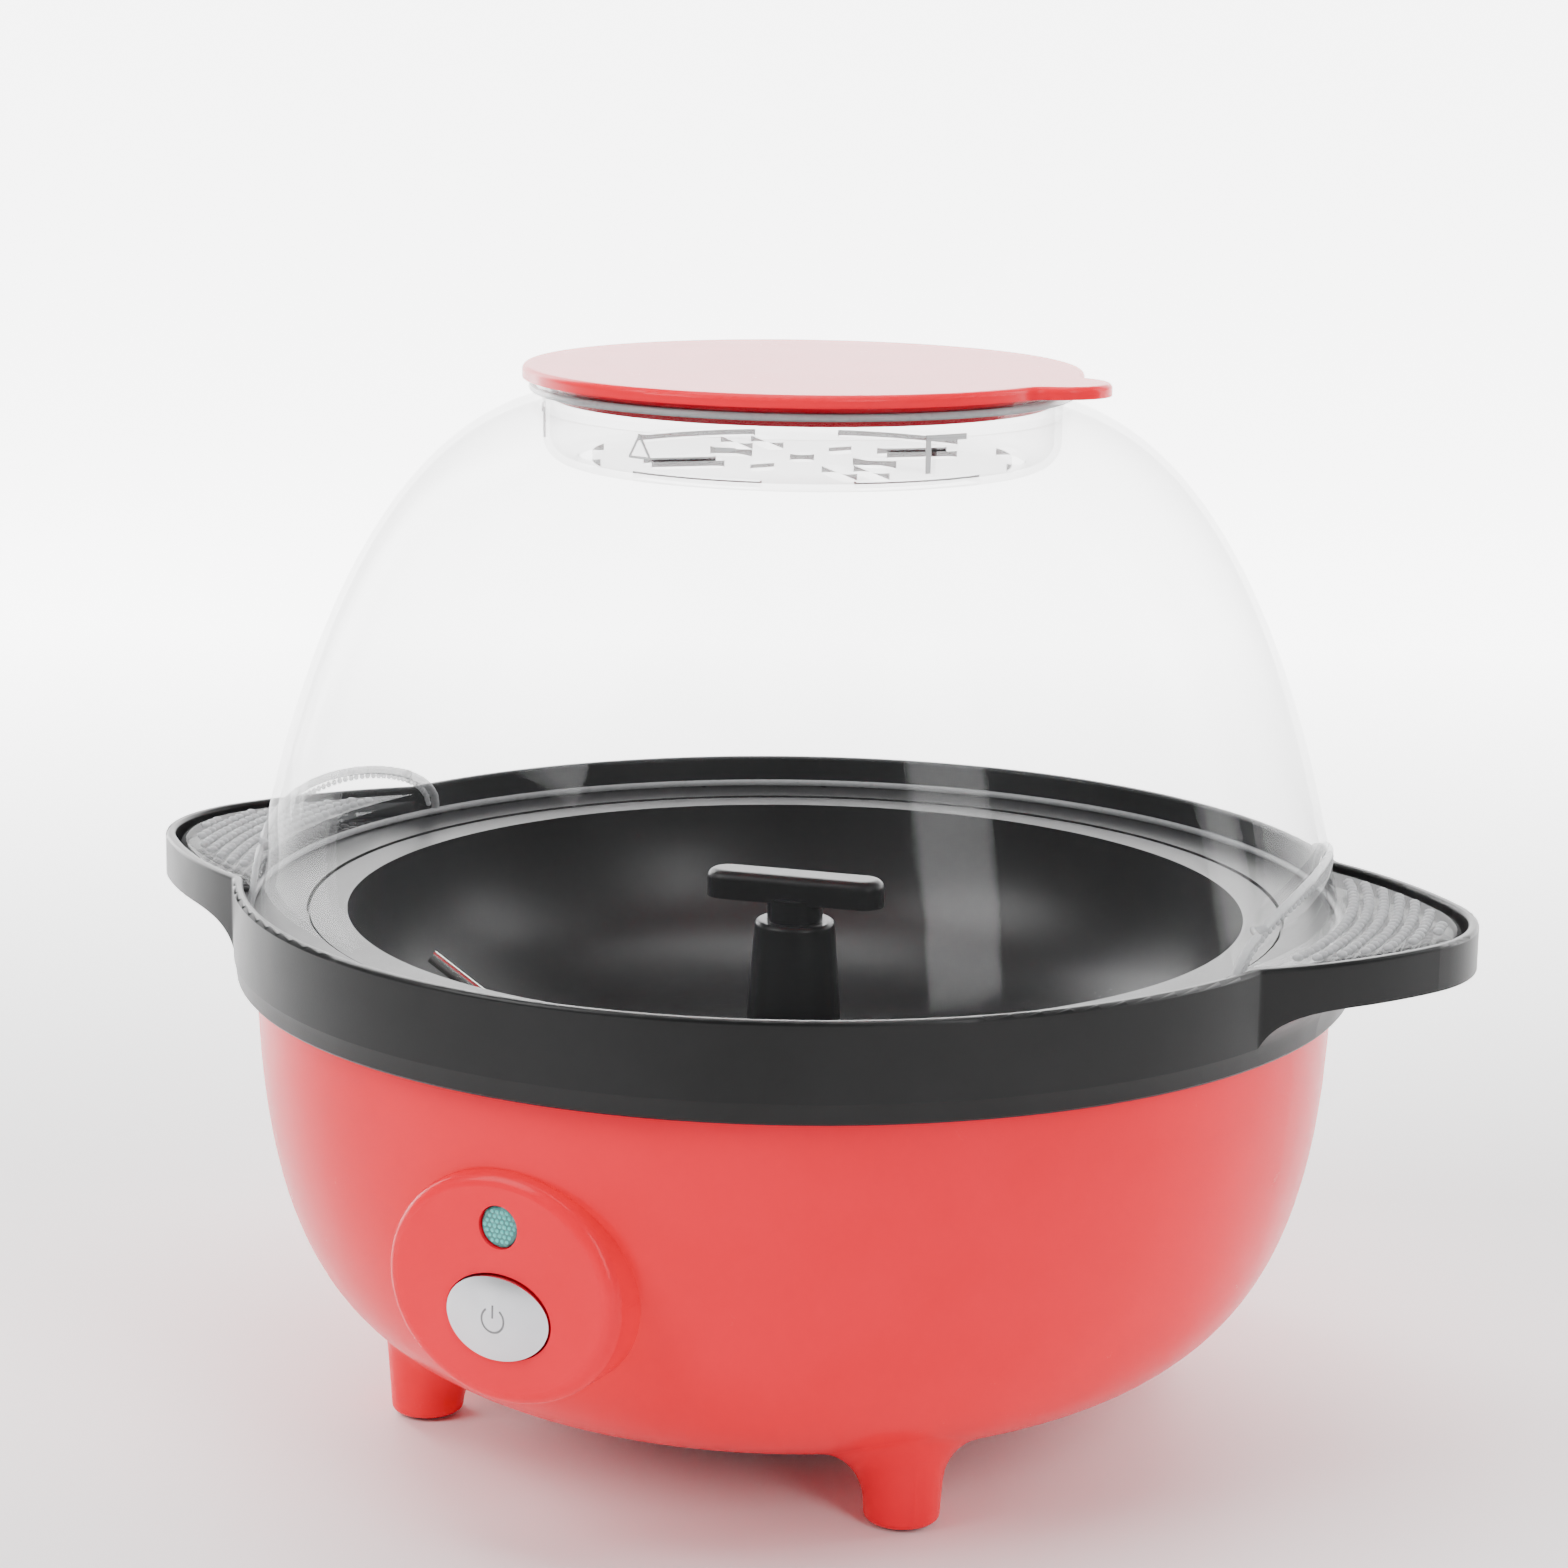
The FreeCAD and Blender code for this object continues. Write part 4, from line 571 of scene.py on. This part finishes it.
def pot_growth(slot):
    """The pot's wall: its closed section swept round the stirrer's axis."""
    growth = Growth("revolved pot")
    bore = growth.size("Bore")
    floor = growth.size("Floor radius")
    curl = growth.size("Floor pull")
    mouth = growth.size("Mouth radius")
    side = growth.size("Side pull")
    flange = growth.size("Flange radius")
    wall = growth.size("Wall")
    low = growth.size("Floor height")
    seat = growth.size("Seat height")

    def at(radius, height):
        return growth.add("ShaderNodeCombineXYZ", {}, {0: radius - bore, 1: -height})

    outside = mouth + wall
    under = low - wall
    top = seat + wall
    inner = [at(floor, low), at(floor + curl, low), at(mouth, seat - side), at(mouth, seat)]
    outer = [at(outside, seat), at(outside, seat - side), at(floor + curl, under), at(floor, under)]
    joins = [(at(bore, low), inner[0]), (inner[3], at(mouth, top)), (at(mouth, top), at(flange, top)),
             (at(flange, top), at(flange, seat)), (at(flange, seat), outer[0]),
             (outer[3], at(bore, under)), (at(bore, under), at(bore, low))]
    runs = [growth.add("GeometryNodeCurvePrimitiveLine", {}, {"Start": a, "End": b}) for a, b in joins]
    for poles in (inner, outer):
        runs.append(growth.add("GeometryNodeCurvePrimitiveBezierSegment", {"mode": "POSITION"},
                               {"Resolution": 40, "Start": poles[0], "Start Handle": poles[1],
                                "End Handle": poles[2], "End": poles[3]}))
    section = growth.add("GeometryNodeJoinGeometry")
    for run in reversed(runs):
        growth.tree.links.new(run.socket, section.socket.node.inputs[0])
    circle = growth.add("GeometryNodeCurvePrimitiveCircle", {"mode": "RADIUS"},
                        {"Resolution": 192, "Radius": bore})
    spine = growth.add("GeometryNodeSetCurveNormal", {"mode": "Z_UP"}, {0: circle})
    wall_mesh = growth.add("GeometryNodeCurveToMesh", {}, {"Curve": spine, "Profile Curve": section})
    sealed = growth.add("GeometryNodeMergeByDistance", {}, {0: wall_mesh, "Distance": 1e-6})
    growth.end(sealed, finish_of(slot))
    return growth


def coil_growth(slot):
    """A wire wound round an upright axis, with flat ends."""
    growth = Growth("coil")
    radius = growth.size("Coil radius")
    height = growth.size("Height")
    turns = growth.size("Turns")
    wire = growth.size("Wire radius")
    path = growth.add("GeometryNodeCurveSpiral", {},
                      {"Resolution": 28, "Rotations": turns, "Start Radius": radius,
                       "End Radius": radius, "Height": height})
    section = growth.add("GeometryNodeCurvePrimitiveCircle", {"mode": "RADIUS"},
                         {"Resolution": 10, "Radius": wire})
    coil = growth.add("GeometryNodeCurveToMesh", {}, {"Curve": path, "Profile Curve": section,
                                                      "Fill Caps": True})
    growth.end(coil, finish_of(slot))
    return growth


# ------------------------------------------------------------------ where details sit
def inside_ear(x, y, margin):
    """Whether a place stays clear of an ear's outline, in the ear's own frame."""
    s = sizes()
    swing = s.ear_flank - s.ear_nose
    flank_x = s.ear_centre - swing * math.cos(s.ear_lean)
    flank_y = swing * math.sin(s.ear_lean)
    if math.hypot(x - flank_x, abs(y) + flank_y) > s.ear_flank - margin:
        return False
    at_nose = math.atan2(abs(y), x - s.ear_centre) < s.ear_lean
    return not at_nose or math.hypot(x - s.ear_centre, y) < s.ear_nose - margin


def ear_spots(height, margin):
    """Stud places on both ears: rows struck from the axis, kept clear of the ear's rim."""
    s = sizes()
    spots = []
    for row in range(s.rows):
        radius = s.first_row + row * s.row_pitch
        step = s.stud_pitch / radius
        for k in range(-12, 13):
            angle = (k + 0.5 * (row % 2)) * step
            x = radius * math.cos(angle)
            y = radius * math.sin(angle)
            if not inside_ear(x, y, margin):
                continue
            for side in (0.0, math.pi):
                turn = s.ear_turn + side
                spots.append(Vector((x * math.cos(turn) - y * math.sin(turn),
                                     x * math.sin(turn) + y * math.cos(turn), height)))
    return spots


def dome_radius(height):
    """Outside radius of the dome at a height, read from the frame's dome."""
    best = DOME_PROFILE[0]
    for spot in DOME_PROFILE:
        if abs(spot[0] - height) < abs(best[0] - height):
            best = spot
    return best[1]


def read_dome_profile():
    """Heights and outside radii of the dome, away from its ears."""
    found = {}
    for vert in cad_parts["dome"].data.vertices:
        x, y, z = vert.co
        azimuth = math.atan2(y, x) - EAR_TURN
        if abs(math.cos(azimuth)) > EAR_SIDE:
            continue
        key = round(z / (0.5 * MM))
        radius = math.hypot(x, y)
        if radius > found.get(key, (0, 0))[1]:
            found[key] = (z, radius)
    return sorted(found.values())


DOME_PROFILE = read_dome_profile()


def arch_path(side, steps, lift):
    """Points of an arch over an ear on the dome's wall, with the wall's outward directions."""
    s = sizes()
    spots = []
    for i in range(steps + 1):
        phase = math.pi * i / steps
        azimuth = s.ear_turn + side * math.pi + s.arch_half * math.cos(phase)
        height = DOME_LOW.z + ARCH_RISE + s.arch_height * math.sin(phase) ** 0.85
        radius = dome_radius(height) + lift
        out = Vector((math.cos(azimuth), math.sin(azimuth), DOME_LEAN)).normalized()
        spots.append((Vector((radius * math.cos(azimuth), radius * math.sin(azimuth), height)), out))
    return spots


# ------------------------------------------------------------------ operators
class Part(bpy.types.Operator):
    """Base of the operators that make a piece."""

    bl_options = {"REGISTER", "UNDO"}

    def execute(self, context):
        self.make()
        return {"FINISHED"}


class POPCORN_OT_stage(Part):
    """Makes the pale studio: seamless floor, soft lights and the camera."""

    bl_idname = "popcorn.stage"
    bl_label = "Studio"

    def make(self):
        self.floor()
        self.lights()
        self.camera()

    def floor(self):
        section = [(FLOOR_FRONT, 0.0), (FLOOR_BEND_START, 0.0)]
        for i in range(1, 13):
            angle = math.pi / 2 * i / 12
            section.append((FLOOR_BEND_START + FLOOR_BEND_R * math.sin(angle),
                            FLOOR_BEND_R - FLOOR_BEND_R * math.cos(angle)))
        section.append((FLOOR_BEND_START + FLOOR_BEND_R, FLOOR_TOP))
        across = Vector((FORWARD.y, -FORWARD.x, 0.0))
        verts = []
        for along, height in section:
            for side in (-1, 1):
                verts.append(FORWARD * along + across * side * FLOOR_HALF_WIDTH
                             + Vector((0, 0, height)))
        faces = [(2 * i, 2 * i + 1, 2 * i + 3, 2 * i + 2) for i in range(len(section) - 1)]
        mesh = bpy.data.meshes.new("studio_floor")
        mesh.from_pydata([tuple(v) for v in verts], [], faces)
        mesh.shade_smooth()
        floor = new_object("studio_floor", mesh)
        mesh.materials.append(studio_floor("studio floor", colours().floor))

    def lights(self):
        world = bpy.data.worlds.new("studio")
        bpy.context.scene.world = world
        world.use_nodes = True
        world.node_tree.nodes["Background"].inputs["Color"].default_value = (1, 1, 1, 1)
        world.node_tree.nodes["Background"].inputs["Strength"].default_value = WORLD_STRENGTH
        for name, place, size, power in SOFTBOXES:
            self.softbox(name, place, size, power)

    def softbox(self, name, place, size, power):
        light = bpy.data.lights.new(name, "AREA")
        light.shape = "RECTANGLE"
        light.size, light.size_y = size
        light.energy = power
        lamp = bpy.data.objects.new(name, light)
        lamp.location = place
        aim = Vector((0, 0, 0.12)) - Vector(place)
        lamp.rotation_euler = aim.to_track_quat("-Z", "Y").to_euler()
        bpy.context.scene.collection.objects.link(lamp)

    def camera(self):
        lens = bpy.data.cameras.new("camera")
        lens.sensor_width = 36.0
        lens.lens = CAMERA_LENS
        lens.shift_x = CAMERA_SHIFT
        lens.clip_start = 0.05
        view = bpy.data.objects.new("camera", lens)
        view.location = CAMERA_PLACE
        forward = FORWARD * math.cos(CAMERA_PITCH) - Vector((0, 0, math.sin(CAMERA_PITCH)))
        level = Vector((FORWARD.y, -FORWARD.x, 0.0))
        upright = level.cross(forward)
        right = level * math.cos(CAMERA_ROLL) + upright * math.sin(CAMERA_ROLL)
        up = right.cross(forward)
        rotation = view.rotation_euler.to_matrix()
        for row in range(3):
            rotation[row] = (right[row], up[row], -forward[row])
        view.rotation_euler = rotation.to_euler()
        bpy.context.scene.collection.objects.link(view)
        bpy.context.scene.camera = view


class POPCORN_OT_finishes(Part):
    """Gives every part of the frame its own finish."""

    bl_idname = "popcorn.finishes"
    bl_label = "Finishes"

    def make(self):
        for name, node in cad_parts.items():
            slots = node.data.materials
            if not slots:
                raise RuntimeError("the frame's part %s has no material slot" % name)
            for i, held in enumerate(slots):
                slots[i] = finish_of(held.name.split(".")[0])


class POPCORN_OT_pot(Part):
    """Makes the coated pot by sweeping its section round the axis."""

    bl_idname = "popcorn.pot"
    bl_label = "Pot"

    def make(self):
        s = sizes()
        values = {"Bore": s.pot_bore, "Floor radius": s.pot_floor, "Floor pull": s.pot_curl,
                  "Mouth radius": s.pot_mouth, "Side pull": s.pot_side,
                  "Flange radius": POT_HIGH.x, "Wall": s.pot_wall,
                  "Floor height": POT_LOW.z + s.pot_wall, "Seat height": POT_HIGH.z - s.pot_wall}
        pot = grown("coated_pot", points_mesh("coated_pot", []), pot_growth("nonstick"), values)
        pot.data.set_sharp_from_angle(angle=math.radians(35))
        finished(pot, "base", "nonstick", ["heating_pot"])


class POPCORN_OT_collar_grips(Part):
    """Makes the rows of grip studs on the collar's ears."""

    bl_idname = "popcorn.collar_grips"
    bl_label = "Collar grip studs"

    def make(self):
        s = sizes()
        spots = ear_spots(COLLAR_TOP - COLLAR_TRAY_DEPTH, COLLAR_STUD_MARGIN)
        values = {"Reach": s.stud_reach, "Width": s.stud_width, "Height": s.stud_height}
        studs = grown("collar_grip_studs", points_mesh("collar_grip_studs", spots),
                      stud_growth("collar grip studs", "black_plastic"), values)
        finished(studs, "base", "black_plastic")


class POPCORN_OT_dome_grips(Part):
    """Makes the rows of grip studs on the dome's ears."""

    bl_idname = "popcorn.dome_grips"
    bl_label = "Dome grip studs"

    def make(self):
        s = sizes()
        spots = ear_spots(DOME_LOW.z + DOME_EAR_RISE, DOME_STUD_MARGIN)
        values = {"Reach": s.stud_reach * 0.8, "Width": s.stud_width * 0.9,
                  "Height": s.stud_height * 0.8}
        studs = grown("dome_grip_studs", points_mesh("dome_grip_studs", spots),
                      stud_growth("dome grip studs", "frosted"), values)
        finished(studs, "lid", "clear_plastic", look="frosted")


class POPCORN_OT_dome_arches(Part):
    """Makes the arched band and its beads on the dome above each ear."""

    bl_idname = "popcorn.dome_arches"
    bl_label = "Dome arches"

    def make(self):
        s = sizes()
        bands = []
        beads = []
        for side in (0, 1):
            spots = arch_path(side, 72, 0.1 * MM)
            path = [spot for spot, out in spots]
            frames = []
            for i, (spot, out) in enumerate(spots):
                ahead = path[min(i + 1, len(path) - 1)] - path[max(i - 1, 0)]
                across = ahead.normalized().cross(out).normalized()
                frames.append((across, out))
            bands.append(bar_along(path, frames, disc_offsets(s.arch_band, s.arch_band * 0.7, 10)))
            dots = [spot for spot, out in arch_path(side, ARCH_DOTS, 0.2 * MM)]
            crown = dots[ARCH_DOTS // 2]
            foot = Vector((crown.x, crown.y, DOME_LOW.z))
            for spot in dots[2:-2]:
                place = spot + (foot - spot).normalized() * ARCH_DOT_GAP
                wall = dome_radius(place.z) + 0.1 * MM
                flat = Vector((place.x, place.y, 0.0)).normalized() * wall
                beads.append(Vector((flat.x, flat.y, place.z)))
        verts, faces = gather(bands)
        finished(from_faces("dome_arch_bands", verts, faces), "lid", "clear_plastic",
                 look="frosted")
        values = {"Reach": s.bead * 0.8, "Width": s.bead, "Height": s.bead}
        grain = grown("dome_arch_beads", points_mesh("dome_arch_beads", beads),
                      stud_growth("arch beads", "frosted", 8, 5), values)
        finished(grain, "lid", "clear_plastic", look="frosted")


class POPCORN_OT_neck_lip(Part):
    """Makes the rolled lip round the dome's neck and its rim's thickened edge."""

    bl_idname = "popcorn.neck_lip"
    bl_label = "Dome lips"

    def make(self):
        s = sizes()
        rings = []
        rim_r = DOME_PROFILE[0][1] - 0.4 * MM
        for radius, height, bulge in ((NECK_R, DOME_HIGH.z - 0.95 * MM, s.neck_lip),
                                      (rim_r, DOME_LOW.z + 0.9 * MM, RIM_LIP)):
            path = []
            frames = []
            for i in range(160):
                azimuth = 2 * math.pi * i / 160
                out = Vector((math.cos(azimuth), math.sin(azimuth), 0.0))
                path.append(out * radius + Vector((0, 0, height)))
                frames.append((out, Vector((0, 0, 1))))
            rings.append(bar_along(path, frames, disc_offsets(bulge, bulge, 10), True))
        verts, faces = gather(rings)
        finished(from_faces("dome_lips", verts, faces), "lid", "clear_plastic", look="frosted")


class POPCORN_OT_spring(Part):
    """Makes the button's return spring, built at one length; the coil does not shorten as the button
    goes in.
    """

    bl_idname = "popcorn.spring"
    bl_label = "Button spring"

    def make(self):
        s = sizes()
        low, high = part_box("button_spring")
        length_y = high.y - low.y
        middle = (low + high) / 2
        values = {"Coil radius": (high.x - low.x) / 2 - s.spring_wire,
                  "Height": length_y - 2 * s.spring_wire, "Turns": s.spring_turns,
                  "Wire radius": s.spring_wire}
        coil = grown("return_spring", points_mesh("return_spring", []), coil_growth("spring_steel"),
                     values)
        for vert in coil.data.vertices:
            x, y, z = vert.co
            vert.co = (middle.x + x, low.y + s.spring_wire + z, middle.z - y)
        finished(coil, "base", "spring_steel", ["button_spring"])
        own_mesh(coil)


class POPCORN_OT_power_mark(Part):
    """Makes the power mark, a thin raised line on the button's crown."""

    bl_idname = "popcorn.power_mark"
    bl_label = "Power mark"

    def make(self):
        s = sizes()
        middle_z = (BUTTON_LOW.z + BUTTON_HIGH.z) / 2
        crown = BUTTON_LOW.y
        face = Vector((0, 1, 0))

        def spot(x, z):
            drop = (x * x + z * z) / (2 * BUTTON_CROWN_R)
            return Vector((x, crown + drop + 0.04 * MM, middle_z + z))

        arc = []
        frames = []
        for i in range(49):
            angle = math.radians(90 + 38 + (360 - 76) * i / 48)
            arc.append(spot(s.mark_radius * math.cos(angle), s.mark_radius * math.sin(angle)))
            frames.append((Vector((math.cos(angle), 0, math.sin(angle))), face))
        stroke = [spot(0, s.mark_radius * (0.15 + 1.05 * i / 8)) for i in range(9)]
        upright = [(Vector((1, 0, 0)), face)] * 9
        offsets = disc_offsets(s.mark_line, 0.16 * MM, 8)
        verts, faces = gather([bar_along(arc, frames, offsets), bar_along(stroke, upright, offsets)])
        finished(from_faces("power_mark", verts, faces), "button", "grey_moulding")


class POPCORN_OT_lens_jewels(Part):
    """Makes the cluster of facet beads in the lamp lens, coloured as painted glints."""

    bl_idname = "popcorn.lens_jewels"
    bl_label = "Lens jewels"

    def make(self):
        s = sizes()
        middle_z = (LENS_LOW.z + LENS_HIGH.z) / 2
        front = LENS_LOW.y + 0.12 * MM
        pitch = s.jewel * 2.6
        spots = []
        for row in range(-4, 5):
            for column in range(-4, 5):
                x = (column + 0.5 * (row % 2)) * pitch
                z = row * pitch * 0.866
                if math.hypot(x, z) < JEWEL_FIELD_R:
                    spots.append(Vector((x, front, middle_z + z)))
        values = {"Reach": s.jewel, "Width": s.jewel, "Height": s.jewel}
        jewels = grown("lens_jewels", points_mesh("lens_jewels", spots),
                       stud_growth("lens jewels", "green_lens", 6, 5, False), values)
        # The jewels get the painted-glint look, lighter than the lens they sit in.
        finished(jewels, "base", "green_lens", look="jewel")


class POPCORN_OT_tray_marks(Part):
    """Makes the bayonet ribs and the alignment marks on the vent tray's wall."""

    bl_idname = "popcorn.tray_marks"
    bl_label = "Tray marks"

    def make(self):
        parts = []
        for azimuth in BAYONET_AZIMUTHS:
            parts.append(self.rib(azimuth, 11.0, 8.4, 7.0))
            parts.append(self.rib(azimuth, 1.2, 15.9, 7.0))
        parts.append(self.rib(280, 5.0, 10.8, 10.0))
        parts += self.triangle(262, 11.4)
        verts, faces = gather(parts)
        finished(from_faces("tray_marks", verts, faces), "tray", "clear_plastic",
                 look="clear_mark")

    def rib(self, azimuth, wide, low, high):
        """A rib from an azimuth round; wide is in mm, low and high in mm below the tray's top."""
        height = TRAY_TOP - (low + high) / 2 * MM
        path = []
        frames = []
        for i in range(7):
            angle = math.radians(azimuth) + wide * i / 6 * MM / TRAY_WALL_R
            out = Vector((math.cos(angle), math.sin(angle), 0.0))
            path.append(out * TRAY_WALL_R + Vector((0, 0, height)))
            frames.append((out, Vector((0, 0, 1))))
        half = (low - high) / 2 * MM
        corners = [(-0.3 * MM, -half), (0.2 * MM, -half), (0.2 * MM, half), (-0.3 * MM, half)]
        return bar_along(path, frames, corners)

    def triangle(self, azimuth, below):
        """An outlined arrow on the wall, below in mm under the tray's top."""
        corners = [(-3.0, -2.4), (3.0, -2.4), (0.0, 2.8)]
        sides = []
        for i in range(3):
            a = corners[i]
            b = corners[(i + 1) % 3]
            path = []
            frames = []
            for k in range(5):
                x = (a[0] + (b[0] - a[0]) * k / 4) * MM
                z = TRAY_TOP + (a[1] + (b[1] - a[1]) * k / 4 - below) * MM
                angle = math.radians(azimuth) + x / TRAY_WALL_R
                out = Vector((math.cos(angle), math.sin(angle), 0.0))
                path.append(out * TRAY_WALL_R + Vector((0, 0, z)))
                along = Vector((-math.sin(angle) * (b[0] - a[0]), math.cos(angle) * (b[0] - a[0]),
                                b[1] - a[1])).normalized()
                frames.append((along.cross(out), out))
            sides.append(bar_along(path, frames, disc_offsets(0.3 * MM, 0.3 * MM, 8)))
        return sides


class POPCORN_PT_panel(bpy.types.Panel):
    """Lists the popcorn maker's pieces, sizes and colours."""

    bl_idname = "POPCORN_PT_panel"
    bl_label = "Popcorn Maker"
    bl_space_type = "VIEW_3D"
    bl_region_type = "UI"
    bl_category = "Popcorn Maker"

    def draw(self, context):
        layout = self.layout
        for operator in OPERATORS:
            layout.operator(operator.bl_idname)
        for group in (context.scene.popcorn_sizes, context.scene.popcorn_colours):
            box = layout.box()
            for name in group.__annotations__:
                box.prop(group, name)


OPERATORS = (POPCORN_OT_stage, POPCORN_OT_finishes, POPCORN_OT_pot, POPCORN_OT_collar_grips,
             POPCORN_OT_dome_grips, POPCORN_OT_dome_arches, POPCORN_OT_neck_lip,
             POPCORN_OT_spring, POPCORN_OT_power_mark, POPCORN_OT_lens_jewels,
             POPCORN_OT_tray_marks)
CLASSES = (PopcornMakerSizes, PopcornMakerColours) + OPERATORS + (POPCORN_PT_panel,)


def register():
    for item in CLASSES:
        bpy.utils.register_class(item)
    bpy.types.Scene.popcorn_sizes = PointerProperty(type=PopcornMakerSizes)
    bpy.types.Scene.popcorn_colours = PointerProperty(type=PopcornMakerColours)


def unregister():
    del bpy.types.Scene.popcorn_colours
    del bpy.types.Scene.popcorn_sizes
    for item in reversed(CLASSES):
        bpy.utils.unregister_class(item)


def main():
    register()
    for operator in OPERATORS:
        group, name = operator.bl_idname.split(".")
        getattr(getattr(bpy.ops, group), name)()
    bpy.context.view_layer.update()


if __name__ == "__main__":
    main()
